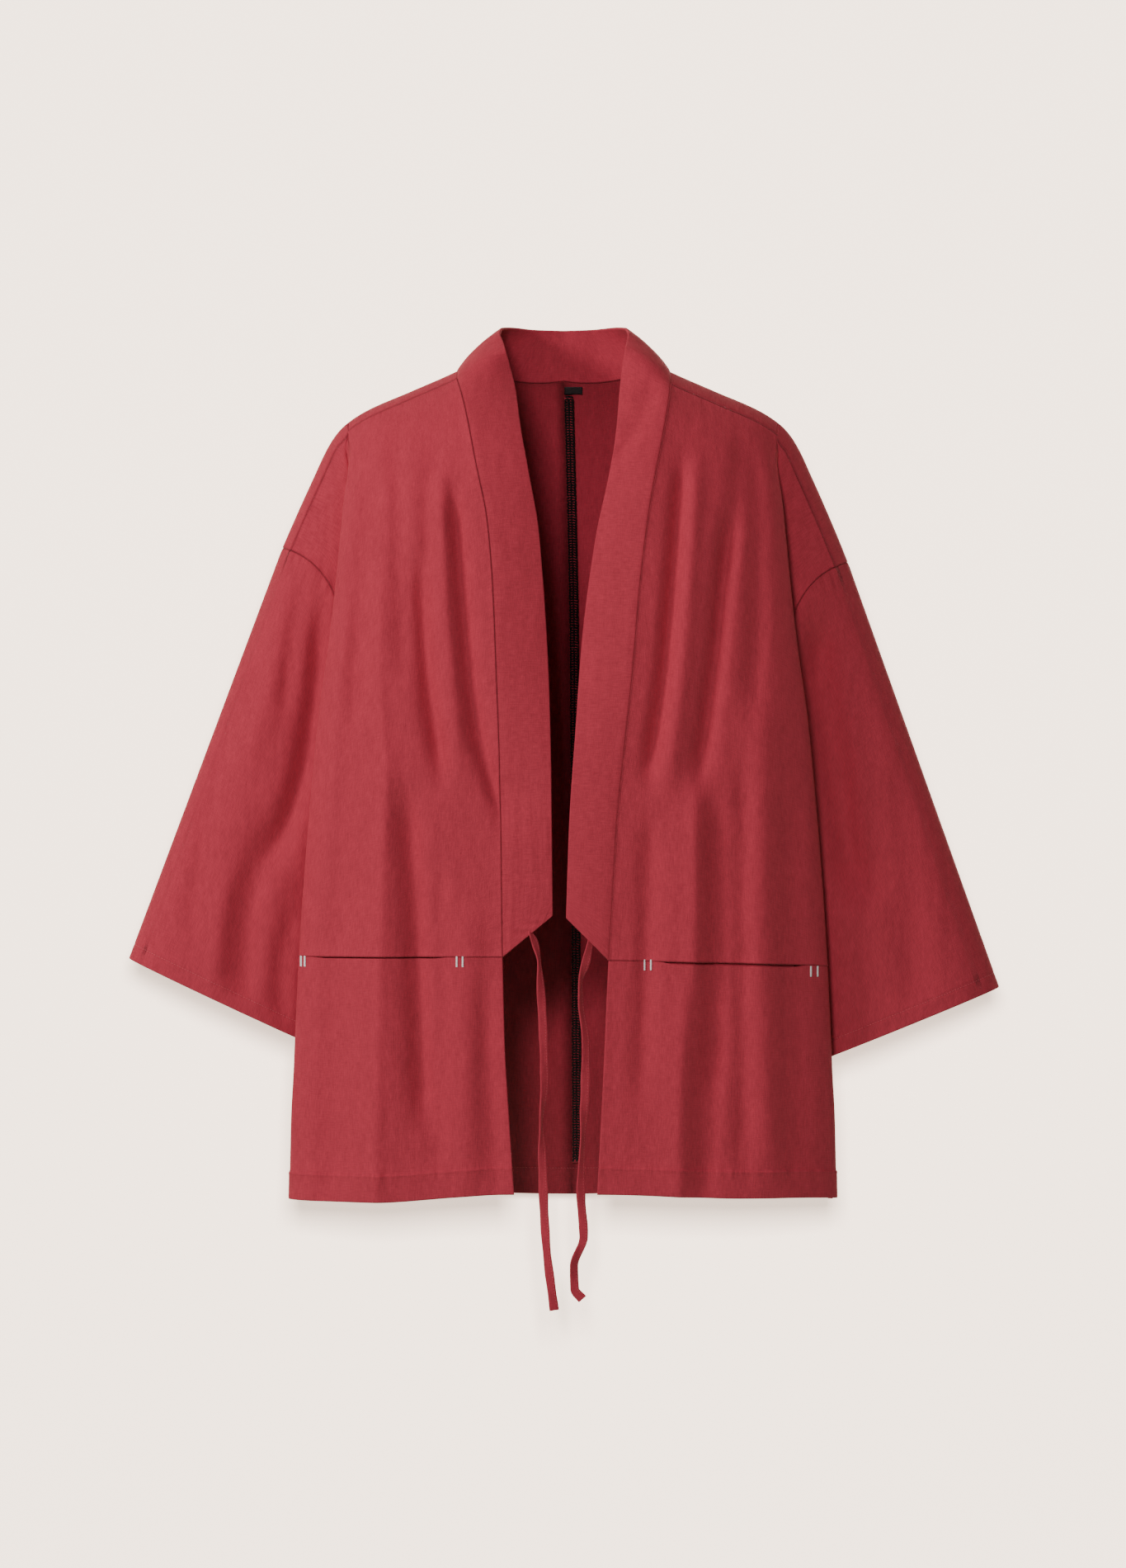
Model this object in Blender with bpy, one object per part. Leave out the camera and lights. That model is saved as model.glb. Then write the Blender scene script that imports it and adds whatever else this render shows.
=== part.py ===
"""Kimono jacket on an unseen wearer: straight-cut body with dropped shoulders,
wide sleeves, a band collar with slanted ends, seam pockets and two ties.

Metres, +Z up. The front faces -Y and +X is the wearer's left. The origin is the
middle of the neck at the top of the shoulders. "Out" is the distance from the
centre plane, so a point of the wearer's right side lies at x = -out.
"""

import math
from collections import namedtuple

import bpy
import numpy as np

# Cloth.
CLOTH = 0.0012
HEM_FOLD = 0.0010
BAND_CLOTH = 0.0026
SEAM_HALF = 0.00015
MOST_PULL = 0.0080

# Body form.
SHOULDER_DROP = 0.130
FACE_POWER = 3.0
NECK_OUT = 0.0965
BACK_HEM_Z = -0.741

# The shoulder's upper line seen from the front, from the middle of the neck to the
# armhole. The first two rows lie under the collar and only shape the upper back.
RidgePoint = namedtuple("RidgePoint", "out z")
RIDGE = (
    RidgePoint(0.000, 0.040),
    RidgePoint(0.060, 0.031),
    RidgePoint(0.097, 0.0115),
    RidgePoint(0.138, -0.0065),
    RidgePoint(0.180, -0.0250),
    RidgePoint(0.201, -0.0400),
    RidgePoint(0.212, -0.0550),
    RidgePoint(0.2265, -0.0850),
    RidgePoint(0.247, -0.1300),
    RidgePoint(0.2600, -0.1600),
    RidgePoint(0.2700, -0.1840),
)

# The body at each height: where its outer edge is, how deep the front and the back
# are at the middle and at that edge, and where the side wall lies behind the edge.
Level = namedtuple("Level", "z edge_out front_mid front_edge back_mid back_edge wall_out")
LEVELS = (
    Level(0.040, 0.194, 0.082, 0.048, 0.094, 0.048, 0.192),
    Level(-0.045, 0.194, 0.088, 0.050, 0.095, 0.050, 0.191),
    Level(-0.065, 0.192, 0.090, 0.051, 0.096, 0.052, 0.186),
    Level(-0.105, 0.197, 0.093, 0.053, 0.098, 0.054, 0.186),
    Level(-0.178, 0.204, 0.096, 0.054, 0.099, 0.055, 0.186),
    Level(-0.240, 0.211, 0.097, 0.054, 0.098, 0.055, 0.184),
    Level(-0.300, 0.2195, 0.098, 0.054, 0.096, 0.054, 0.183),
    Level(-0.370, 0.2265, 0.098, 0.053, 0.093, 0.053, 0.182),
    Level(-0.435, 0.232, 0.098, 0.052, 0.090, 0.052, 0.184),
    Level(-0.500, 0.2365, 0.098, 0.052, 0.089, 0.052, 0.188),
    Level(-0.590, 0.241, 0.098, 0.051, 0.091, 0.051, 0.196),
    Level(-0.625, 0.2425, 0.098, 0.051, 0.092, 0.051, 0.202),
    Level(-0.660, 0.2445, 0.098, 0.050, 0.094, 0.051, 0.222),
    Level(-0.700, 0.2455, 0.098, 0.048, 0.096, 0.050, 0.236),
    Level(-0.750, 0.2465, 0.098, 0.046, 0.098, 0.048, 0.241),
)

# What differs between the two sides.
Side = namedtuple(
    "Side",
    "name sign armhole_out armhole_z cuff_out cuff_z cuff_slope seam_in "
    "pocket_inner_z pocket_outer_z pocket_gape hem_inner_z hem_middle_z hem_outer_z",
)
RIGHT = Side("right", -1, 0.2545, -0.148, 0.394, -0.521, 25.0, 0.009,
             -0.5175, -0.5180, 0.0006, -0.730, -0.7375, -0.7355)
LEFT = Side("left", 1, 0.2585, -0.161, 0.396, -0.547, 22.0, 0.0135,
            -0.5205, -0.5270, 0.0013, -0.730, -0.7340, -0.7375)

# Armhole ring and sleeve.
ARMHOLE_WIDTH = 0.133
ARMHOLE_SLANT = 0.190
ARMHOLE_SLANT_POWER = 2.6
ARM_HALF_DEPTH = 0.036
CUFF_WIDTH = 0.200
CUFF_HALF_DEPTH = 0.040

# The collar seam on each front, from the neck down to the hem.
EdgePoint = namedtuple("EdgePoint", "z out")
FRONT_EDGE = {
    "right": (
        EdgePoint(0.0040, 0.0955),
        EdgePoint(-0.019, 0.0890),
        EdgePoint(-0.077, 0.0775),
        EdgePoint(-0.125, 0.0680),
        EdgePoint(-0.183, 0.0630),
        EdgePoint(-0.254, 0.0600),
        EdgePoint(-0.368, 0.0560),
        EdgePoint(-0.517, 0.0540),
        EdgePoint(-0.598, 0.0520),
        EdgePoint(-0.658, 0.0485),
        EdgePoint(-0.740, 0.0430),
    ),
    "left": (
        EdgePoint(0.0040, 0.0975),
        EdgePoint(-0.019, 0.0950),
        EdgePoint(-0.061, 0.0875),
        EdgePoint(-0.113, 0.0780),
        EdgePoint(-0.183, 0.0690),
        EdgePoint(-0.254, 0.0630),
        EdgePoint(-0.335, 0.0545),
        EdgePoint(-0.400, 0.0480),
        EdgePoint(-0.467, 0.0440),
        EdgePoint(-0.525, 0.0405),
        EdgePoint(-0.625, 0.0360),
        EdgePoint(-0.740, 0.0300),
    ),
}


def smooth_table(xs, ys):
    """Monotone cubic through the table's points, flat beyond its ends."""
    order = np.argsort(xs)
    xs = np.asarray(xs, float)[order]
    ys = np.asarray(ys, float)[order]
    step = np.diff(xs)
    slope = np.diff(ys) / step
    tangent = np.zeros_like(ys)
    same = slope[:-1] * slope[1:] > 0
    harmonic = 2 * slope[:-1] * slope[1:] / np.where(same, slope[:-1] + slope[1:], 1)
    tangent[1:-1] = np.where(same, harmonic, 0)
    tangent[0] = slope[0]
    tangent[-1] = slope[-1]

    def value(x):
        x = np.clip(np.asarray(x, float), xs[0], xs[-1])
        i = np.clip(np.searchsorted(xs, x) - 1, 0, len(step) - 1)
        s = (x - xs[i]) / step[i]
        return (
            ys[i] * (1 + 2 * s) * (1 - s) ** 2
            + ys[i + 1] * s * s * (3 - 2 * s)
            + step[i] * (tangent[i] * s * (1 - s) ** 2 - tangent[i + 1] * s * s * (1 - s))
        )

    return value


def blend(a, b, share):
    """Straight mix of a and b."""
    return a + (b - a) * share


def ease(x):
    """0 below 0, 1 above 1, smooth between."""
    x = np.clip(x, 0.0, 1.0)
    return x * x * (3 - 2 * x)


LEVEL_Z = [level.z for level in LEVELS]
EDGE_OUT = smooth_table(LEVEL_Z, [level.edge_out for level in LEVELS])
FRONT_MID = smooth_table(LEVEL_Z, [level.front_mid for level in LEVELS])
FRONT_SIDE = smooth_table(LEVEL_Z, [level.front_edge for level in LEVELS])
BACK_MID = smooth_table(LEVEL_Z, [level.back_mid for level in LEVELS])
BACK_SIDE = smooth_table(LEVEL_Z, [level.back_edge for level in LEVELS])
WALL_OUT = smooth_table(LEVEL_Z, [level.wall_out for level in LEVELS])
RIDGE_Z = smooth_table([p.out for p in RIDGE], [p.z for p in RIDGE])
RIDGE_OUT = smooth_table([p.z for p in RIDGE], [p.out for p in RIDGE])
COLLAR_SEAM_OUT = {
    name: smooth_table([p.z for p in edge], [p.out for p in edge])
    for name, edge in FRONT_EDGE.items()
}

# The collar's free edge on each front, and how much higher it is than the seam of
# the same station. The slanted lower end is the last station.
FREE_EDGE = {
    "right": (
        EdgePoint(0.030, 0.0520),
        EdgePoint(-0.006, 0.0430),
        EdgePoint(-0.0745, 0.0314),
        EdgePoint(-0.141, 0.0203),
        EdgePoint(-0.289, 0.0115),
        EdgePoint(-0.480, 0.0092),
    ),
    "left": (
        EdgePoint(0.030, 0.0560),
        EdgePoint(-0.009, 0.0510),
        EdgePoint(-0.0745, 0.0425),
        EdgePoint(-0.142, 0.0284),
        EdgePoint(-0.2385, 0.0159),
        EdgePoint(-0.318, 0.0107),
        EdgePoint(-0.400, 0.0055),
        EdgePoint(-0.488, 0.0026),
    ),
}
FREE_OUT = {
    name: smooth_table([p.z for p in edge], [p.out for p in edge])
    for name, edge in FREE_EDGE.items()
}
Lift = namedtuple("Lift", "seam_z rise")
COLLAR_LIFT = (
    Lift(0.004, 0.0260),
    Lift(-0.019, 0.0170),
    Lift(-0.060, 0.0070),
    Lift(-0.125, 0.0030),
    Lift(-0.430, 0.0000),
    Lift(-0.475, 0.0120),
    Lift(-0.519, 0.0380),
)
COLLAR_RISE = smooth_table([p.seam_z for p in COLLAR_LIFT], [p.rise for p in COLLAR_LIFT])

# The collar's free edge round the neck: turn is 0 at the middle of the back, 1 on
# the ridge of the shoulder and 2 at the shoulder seam.
NeckStation = namedtuple("NeckStation", "turn edge_out edge_y edge_z bulge")
NECK_STATIONS = (
    NeckStation(0.00, 0.0000, 0.0575, 0.0530, 0.0010),
    NeckStation(0.33, 0.0260, 0.0530, 0.0535, 0.0020),
    NeckStation(0.60, 0.0445, 0.0420, 0.0545, 0.0030),
    NeckStation(0.85, 0.0555, 0.0230, 0.0530, 0.0035),
    NeckStation(1.00, 0.0580, 0.0040, 0.0470, 0.0035),
    NeckStation(1.50, 0.0560, -0.0100, 0.0385, 0.0035),
    NeckStation(2.00, 0.0540, -0.0230, 0.0300, 0.0030),
)

# The largest folds of each panel, seen from its own side: a row for each fold, with
# three places on its line, its depth (below 0 for a ridge) and its half width.
Fold = namedtuple("Fold", "out_top z_top out_mid z_mid out_low z_low depth half_width")
FRONT_FOLDS = {
    "right": (
        Fold(0.129, -0.085, 0.128, -0.250, 0.113, -0.385, 0.0040, 0.013),
        Fold(0.134, -0.340, 0.139, -0.490, 0.130, -0.680, 0.0045, 0.014),
        Fold(0.093, -0.125, 0.085, -0.265, 0.060, -0.390, 0.0030, 0.012),
        Fold(0.110, -0.060, 0.104, -0.260, 0.086, -0.460, -0.0030, 0.013),
        Fold(0.172, -0.085, 0.181, -0.200, 0.186, -0.300, 0.0025, 0.012),
        Fold(0.157, -0.300, 0.163, -0.500, 0.168, -0.735, -0.0025, 0.011),
        Fold(0.190, -0.440, 0.196, -0.560, 0.203, -0.740, 0.0025, 0.016),
    ),
    "left": (
        Fold(0.100, -0.060, 0.088, -0.245, 0.070, -0.440, 0.0045, 0.012),
        Fold(0.130, -0.055, 0.139, -0.240, 0.128, -0.390, 0.0045, 0.013),
        Fold(0.128, -0.390, 0.128, -0.490, 0.118, -0.680, 0.0045, 0.016),
        Fold(0.114, -0.060, 0.107, -0.250, 0.094, -0.440, -0.0030, 0.012),
        Fold(0.180, -0.300, 0.180, -0.500, 0.186, -0.720, -0.0025, 0.018),
        Fold(0.166, -0.070, 0.172, -0.180, 0.180, -0.290, 0.0025, 0.012),
    ),
}
BACK_FOLDS = {
    "right": (
        Fold(0.120, -0.100, 0.124, -0.300, 0.116, -0.560, 0.0045, 0.015),
        Fold(0.062, -0.160, 0.070, -0.380, 0.078, -0.640, 0.0035, 0.017),
        Fold(0.094, -0.120, 0.098, -0.360, 0.104, -0.620, -0.0025, 0.015),
        Fold(0.166, -0.110, 0.172, -0.300, 0.160, -0.600, 0.0035, 0.014),
        Fold(0.180, -0.420, 0.190, -0.580, 0.196, -0.730, 0.0030, 0.015),
    ),
    "left": (
        Fold(0.112, -0.090, 0.118, -0.320, 0.126, -0.600, 0.0045, 0.015),
        Fold(0.050, -0.140, 0.058, -0.360, 0.052, -0.600, 0.0035, 0.018),
        Fold(0.086, -0.130, 0.088, -0.350, 0.084, -0.600, -0.0025, 0.014),
        Fold(0.158, -0.100, 0.166, -0.320, 0.172, -0.560, 0.0035, 0.014),
        Fold(0.192, -0.440, 0.186, -0.600, 0.180, -0.735, 0.0030, 0.015),
    ),
}
SLEEVE_FOLDS = {
    ("right", "front"): (
        Fold(0.222, -0.205, 0.240, -0.330, 0.262, -0.420, 0.0045, 0.014),
        Fold(0.262, -0.400, 0.284, -0.480, 0.288, -0.560, 0.0040, 0.018),
        Fold(0.238, -0.195, 0.262, -0.270, 0.284, -0.340, -0.0030, 0.014),
    ),
    ("right", "back"): (
        Fold(0.226, -0.210, 0.246, -0.340, 0.276, -0.460, 0.0045, 0.015),
        Fold(0.300, -0.330, 0.318, -0.430, 0.330, -0.530, 0.0035, 0.017),
    ),
    ("left", "front"): (
        Fold(0.226, -0.215, 0.244, -0.340, 0.262, -0.450, 0.0045, 0.015),
        Fold(0.300, -0.360, 0.312, -0.460, 0.318, -0.560, 0.0025, 0.020),
    ),
    ("left", "back"): (
        Fold(0.230, -0.225, 0.248, -0.350, 0.270, -0.480, 0.0045, 0.015),
        Fold(0.292, -0.300, 0.318, -0.410, 0.326, -0.540, 0.0035, 0.017),
    ),
}

# Pocket openings, bar tacks, centre back seam and label.
PocketSpan = namedtuple("PocketSpan", "inner_out outer_out")
POCKET = {"right": PocketSpan(0.0990, 0.2300), "left": PocketSpan(0.0835, 0.2210)}
TACK_OUT = {
    "right": (0.0895, 0.0948, 0.2318, 0.2352),
    "left": (0.0730, 0.0790, 0.2225, 0.2285),
}
TACK_WIDTH = 0.0028
TACK_HEIGHT = 0.0095
TACK_THICK = 0.0006
LAID_GAP = 0.0003
BAG_DEPTH = 0.150
BAG_TOP_OFFSET = 0.0026
BAG_OFFSET = 0.0040
LABEL_WIDTH = 0.0165
LABEL_HEIGHT = 0.0065
ALLOWANCE_WIDTH = 0.0080
ALLOWANCE_THICK = 0.0012
BACK_SEAM_X = smooth_table([-0.742, -0.250, 0.010], [0.0085, 0.0060, 0.0008])

# The ties' centre lines, with the way each ribbon faces: turn is 0 where its width
# lies across the view and 90 where only its edge shows.
TiePoint = namedtuple("TiePoint", "x y z turn")
TIES = {
    "right": (
        TiePoint(-0.0282, -0.0985, -0.4972, 60),
        TiePoint(-0.0255, -0.0975, -0.5035, 40),
        TiePoint(-0.0215, -0.0965, -0.5210, 75),
        TiePoint(-0.0203, -0.0960, -0.5400, 40),
        TiePoint(-0.0180, -0.0955, -0.5800, 10),
        TiePoint(-0.0165, -0.0955, -0.6290, 30),
        TiePoint(-0.0196, -0.0960, -0.6665, 75),
        TiePoint(-0.0185, -0.0960, -0.6960, 20),
        TiePoint(-0.0172, -0.0955, -0.7385, 0),
        TiePoint(-0.0150, -0.0950, -0.7750, -10),
        TiePoint(-0.0078, -0.0945, -0.8335, 10),
    ),
    "left": (
        TiePoint(0.0240, -0.0985, -0.5068, 40),
        TiePoint(0.0210, -0.0975, -0.5200, 20),
        TiePoint(0.0155, -0.0965, -0.5420, 70),
        TiePoint(0.0160, -0.0960, -0.5590, 60),
        TiePoint(0.0205, -0.0955, -0.5960, 30),
        TiePoint(0.0196, -0.0955, -0.6400, 10),
        TiePoint(0.0174, -0.0960, -0.6830, 60),
        TiePoint(0.0160, -0.0958, -0.7280, 20),
        TiePoint(0.0185, -0.0955, -0.7675, 0),
        TiePoint(0.0098, -0.0952, -0.7940, 30),
        TiePoint(0.0105, -0.0948, -0.8145, 5),
        TiePoint(0.0175, -0.0942, -0.8235, 0),
    ),
}
TIE_WIDTH = 0.0080
TIE_THICK = 0.0018

# How finely each piece is drawn.
FACE_COLUMNS = 12
WRAP_COLUMNS = 13
NECK_COLUMNS = 5
ARM_ROWS = 12
SIDE_ROWS = 6
LOWER_ROWS = 6
STRIP_ROWS = 2
SLEEVE_ROWS = 13
COLLAR_COLUMNS = 4
FACE_SPREAD = 1.6


def rounding(t):
    """Depth of a quarter ellipse at t of its height, 1 from there on."""
    t = np.clip(t, 0.0, 1.0)
    return np.sqrt(np.maximum(1 - (1 - t) ** 2, 0))


def curve_weights(t, count):
    """Weights of count control points of a clamped cubic B-spline at t."""
    t = np.clip(np.asarray(t, float), 0.0, 1.0 - 1e-9)
    knots = np.concatenate([np.zeros(3), np.linspace(0, 1, count - 2), np.ones(3)])
    weights = [
        np.where((knots[i] <= t) & (t < knots[i + 1]), 1.0, 0.0)
        for i in range(len(knots) - 1)
    ]
    for degree in range(1, 4):
        for i in range(len(knots) - 1 - degree):
            left = knots[i + degree] - knots[i]
            right = knots[i + degree + 1] - knots[i + 1]
            value = 0.0
            if left > 0:
                value = value + (t - knots[i]) / left * weights[i]
            if right > 0:
                value = value + (knots[i + degree + 1] - t) / right * weights[i + 1]
            weights[i] = value
    return weights[:count]


def ring_point(side, turn):
    """The armhole seam: turn is 0 at its top, pi at the underarm, + in front."""
    q = ARMHOLE_WIDTH / 2 * (1 - np.cos(turn))
    along = ARMHOLE_SLANT * (q / ARMHOLE_WIDTH) ** ARMHOLE_SLANT_POWER
    out = side.armhole_out - 0.937 * q + 0.350 * along
    z = side.armhole_z - 0.350 * q - 0.937 * along
    y = -np.sign(turn) * ARM_HALF_DEPTH * np.abs(np.sin(turn)) ** 0.8
    return out, y, z


def cuff_point(side, turn):
    """The sleeve's open end, turned like the armhole."""
    slope = math.radians(side.cuff_slope)
    q = CUFF_WIDTH / 2 * (1 - np.cos(turn))
    out = side.cuff_out - math.cos(slope) * q
    z = side.cuff_z - math.sin(slope) * q
    y = -np.sign(turn) * CUFF_HALF_DEPTH * np.abs(np.sin(turn)) ** 0.8
    return out, y, z


def seam_turn(side):
    """Where on the armhole the shoulder seam ends."""
    return math.acos(1 - 2 * side.seam_in / ARMHOLE_WIDTH)


def ring_turn_at(side, z):
    """The armhole's turn (0 to pi) at height z."""
    turns = np.linspace(0, math.pi, 721)
    heights = ring_point(side, turns)[2]
    return np.interp(-np.asarray(z, float), -heights, turns)


def face_out(side, back, share, z):
    """How far out a column of the face lies at height z."""
    edge = EDGE_OUT(z)
    inner = side.sign * BACK_SEAM_X(z) if back else COLLAR_SEAM_OUT[side.name](z)
    return edge - (edge - inner) * (1 - share) ** FACE_SPREAD


def face_depth(back, out, z):
    """The face's full depth at a place, before the shoulder rounds it off."""
    edge = EDGE_OUT(z)
    mid, at_edge = (BACK_MID(z), BACK_SIDE(z)) if back else (FRONT_MID(z), FRONT_SIDE(z))
    rest = np.clip(1 - (np.abs(out) / edge) ** FACE_POWER, 0, 1)
    return at_edge + (mid - at_edge) * rest ** 0.62


def shaped_depth(back, out, z):
    """The depth at a place with the shoulder's rounding."""
    return face_depth(back, out, z) * rounding((RIDGE_Z(out) - z) / SHOULDER_DROP)


def shoulder_top(side, back, share):
    """Height at which a face column meets the shoulder seam, or the ridge behind it."""
    below = 0.0 if back else side.seam_in
    z = np.full(np.shape(share), -0.02)
    for _ in range(30):
        z = RIDGE_Z(face_out(side, back, share, z)) - below
    return z


def wrap_top(side, back, share):
    """Height of a wrap column's top, from the shoulder tip to the armhole."""
    tip = shoulder_top(side, back, np.array([1.0]))[0]
    turn = 0.0 if back else seam_turn(side)
    arm = ring_point(side, turn)[2]
    return tip + (arm - tip) * share, tip, arm


def lateral_point(side, back, z):
    """The wrap's outer end at height z: shoulder seam, armhole, then side seam."""
    sign = 1.0 if back else -1.0
    _, tip, arm = wrap_top(side, back, np.array([0.0]))
    under = ring_point(side, math.pi)
    inward = 0.0 if back else side.seam_in
    arm_turn = 0.0 if back else seam_turn(side)
    arm_out, arm_y, _ = ring_point(side, sign * -1.0 * arm_turn)
    # Above the armhole.
    line_out = RIDGE_OUT(z) - inward / 0.92
    end_shift = arm_out - (RIDGE_OUT(arm) - inward / 0.92)
    share = np.clip((tip - z) / (tip - arm), 0, 1)
    upper_out = line_out + end_shift * share ** 2
    near = 1.0 if back else ease((tip - z) / 0.015)
    edge = EDGE_OUT(z)
    seam_out = blend(edge, upper_out, near)
    seam_y = blend(shaped_depth(back, edge, z) * sign, float(arm_y), near)
    # On the armhole.
    turn = ring_turn_at(side, z)
    ring_out, ring_y, _ = ring_point(side, -sign * turn)
    # Below the underarm.
    wall = WALL_OUT(z) - 0.0015
    side_out = blend(under[0], wall, ease((under[2] - z) / 0.030))
    out = np.where(z >= arm, seam_out, np.where(z >= under[2], ring_out, side_out))
    y = np.where(z >= arm, seam_y, np.where(z >= under[2], ring_y, 0.0))
    return out, y


def wrap_point(side, back, share, z):
    """A place on the cloth between the body's edge and its lateral seam."""
    sign = 1.0 if back else -1.0
    _, tip, arm = wrap_top(side, back, np.array([0.0]))
    under = ring_point(side, math.pi)[2]
    reach = np.clip((tip - z) / (tip - arm), 1e-6, 1.0)
    t = np.clip(share / reach, 0.0, 1.0)
    edge = EDGE_OUT(z)
    depth = shaped_depth(back, edge, z)
    wall = WALL_OUT(z)
    end_out, end_y = lateral_point(side, back, z)
    end_depth = np.abs(end_y)
    turned = ring_turn_at(side, z) > math.pi / 2
    first = blend(wall, end_out, 0.35)
    second = blend(wall, end_out, 0.80)

    def arm_layer(out, spare):
        round_off = rounding(0.92 * (RIDGE_OUT(z) - out) / (ARMHOLE_WIDTH / 2)) ** 0.8
        return np.minimum(ARM_HALF_DEPTH * round_off, np.where(turned, end_depth + spare, 1.0))

    low = ease((under + 0.050 - z) / 0.090)
    # Control points: the edge's turn, the layer behind it, the valley, the end.
    upper = (
        (edge, depth),
        (edge + 0.0005, depth - 0.0060),
        (edge - 0.0040, depth - 0.0115),
        (blend(edge, wall, 0.60), depth - 0.0125),
        (wall, depth - 0.0135),
        (wall - 0.0005, arm_layer(wall, 0.014)),
        (first, arm_layer(first, 0.008)),
        (second, arm_layer(second, 0.004)),
        (end_out, end_depth),
    )
    lower = (
        (edge, depth),
        (edge + 0.0005, depth - 0.0065),
        (edge - 0.0060, depth - 0.0130),
        (blend(edge, wall, 0.40), depth - 0.0155),
        (blend(edge, wall, 0.75), depth - 0.0190),
        (blend(edge, wall, 0.98), 0.0270),
        (wall + 0.0005, 0.0180),
        (blend(wall, end_out, 0.90), 0.0080),
        (end_out, end_depth),
    )
    weights = curve_weights(t, len(upper))
    grown = ease((tip - z) / 0.060)
    out = 0.0
    y = 0.0
    for i, weight in enumerate(weights):
        straight = i / (len(upper) - 1)
        full_out = blend(upper[i][0], lower[i][0], low)
        full_y = blend(upper[i][1], lower[i][1], low)
        out = out + weight * blend(blend(edge, end_out, straight), full_out, grown)
        y = y + weight * blend(blend(depth, end_depth, straight), full_y, grown)
    return out, sign * y


def fold_depth(folds, out, z):
    """How far the folds move the cloth at a place, inward above 0."""
    moved = np.zeros(np.shape(out))
    for fold in folds:
        mid = smooth_table(
            [fold.z_top, fold.z_mid, fold.z_low], [fold.out_top, fold.out_mid, fold.out_low]
        )
        fade = ease((fold.z_top + 0.03 - z) / 0.06) * ease((z - fold.z_low + 0.03) / 0.06)
        moved = moved + fold.depth * fade * np.exp(-(((out - mid(z)) / fold.half_width) ** 2))
    return moved


def panel_point(side, back, column, z):
    """A place on a front or back panel. Columns run 0 to 1 over the face, 1 to 2 behind."""
    column = np.asarray(column, float)
    z = np.asarray(z, float)
    face = np.clip(column, 0, 1)
    out_face = face_out(side, back, face, z)
    sign = 1.0 if back else -1.0
    folds = (BACK_FOLDS if back else FRONT_FOLDS)[side.name]
    y_face = sign * (
        shaped_depth(back, out_face, z)
        - fold_depth(folds, out_face, z) * ease((1 - face) / 0.25)
    )
    out_wrap, y_wrap = wrap_point(side, back, np.clip(column - 1, 0, 1), z)
    behind = column > 1
    return np.stack(
        [
            side.sign * np.where(behind, out_wrap, out_face),
            np.where(behind, y_wrap, y_face),
            z,
        ],
        axis=-1,
    )


def grid_quads(rows, columns, first=0, closed=False):
    """Faces of a grid of points stored row by row."""
    quads = []
    across = columns if closed else columns - 1
    for r in range(rows - 1):
        for c in range(across):
            d = (c + 1) % columns
            quads.append(
                (
                    first + r * columns + c,
                    first + (r + 1) * columns + c,
                    first + (r + 1) * columns + d,
                    first + r * columns + d,
                )
            )
    return quads


class Sheet:
    """A piece of cloth as a surface: points, faces that look outward, thicknesses."""

    def __init__(self, name, points, quads, outer=CLOTH / 2, inner=CLOTH / 2):
        self.name = name
        self.points, self.quads = joined(np.asarray(points, float), quads)
        count = len(self.points)
        self.outer = np.full(count, outer)
        self.inner = np.full(count, inner)
        self.normals = self.point_normals()
        self.pull = {}

    def point_normals(self):
        p = self.points
        q = np.asarray(self.quads)
        face = np.cross(p[q[:, 2]] - p[q[:, 0]], p[q[:, 3]] - p[q[:, 1]])
        normals = np.zeros_like(p)
        for k in range(4):
            np.add.at(normals, q[:, k], face)
        return normals / np.linalg.norm(normals, axis=1)[:, None]

    def border(self):
        """Directed edges that only one face has."""
        seen = {}
        for quad in self.quads:
            for a, b in zip(quad, quad[1:] + quad[:1]):
                seen[(a, b)] = quad
        return [edge for edge in seen if (edge[1], edge[0]) not in seen]

    def face_at(self):
        """The outward direction of the face beside each border edge."""
        p = self.points
        ways = {}
        for quad in self.quads:
            normal = np.cross(p[quad[2]] - p[quad[0]], p[quad[3]] - p[quad[1]])
            normal = normal / np.linalg.norm(normal)
            for a, b in zip(quad, quad[1:] + quad[:1]):
                ways[(a, b)] = normal
        return ways

    def pulled_back(self):
        """Points with the border moved inward along the cloth."""
        after = {a: b for a, b in self.border()}
        before = {b: a for a, b in self.border()}
        moved = self.points.copy()
        for i, following in after.items():
            n = self.normals[i]
            ways = []
            for a, b in ((before[i], i), (i, following)):
                along = self.points[b] - self.points[a]
                way = np.cross(n, along)
                ways.append(way / np.linalg.norm(way))
            both = ways[0] + ways[1]
            moved[i] += self.pull.get(i, 0.0) * both / max(1 + ways[0] @ ways[1], 0.4)
        return moved


def joined(points, quads):
    """Points at one place made one."""
    keys = np.round(points / 1e-7).astype(np.int64)
    _, first, index = np.unique(keys, axis=0, return_index=True, return_inverse=True)
    index = index.reshape(-1)
    quads = [tuple(int(index[i]) for i in quad) for quad in quads]
    return points[first], quads


def open_seams(sheets):
    """Moves neighbours back from a common seam until their walls stand clear."""
    at = {}
    for sheet in sheets:
        normal = sheet.face_at()
        for a, b in sheet.border():
            along = sheet.points[b] - sheet.points[a]
            way = np.cross(normal[(a, b)], along)
            ends = (sheet.points[a], sheet.points[b])
            key = frozenset(tuple(np.round(end / 2e-6).astype(int)) for end in ends)
            at.setdefault(key, []).append((sheet, a, b, way / np.linalg.norm(way)))
    for group in at.values():
        if len(group) != 2:
            continue
        half = 0.5 * math.acos(max(-1.0, min(1.0, float(group[0][3] @ group[1][3]))))
        for sheet, a, b, _ in group:
            for i in (a, b):
                thick = max(sheet.outer[i], sheet.inner[i])
                clear = SEAM_HALF * (1 + 3 * math.cos(half) ** 2)
                need = (clear + thick * math.cos(half)) / max(math.sin(half), 0.09)
                sheet.pull[i] = max(sheet.pull.get(i, 0.0), min(need, MOST_PULL))


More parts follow.
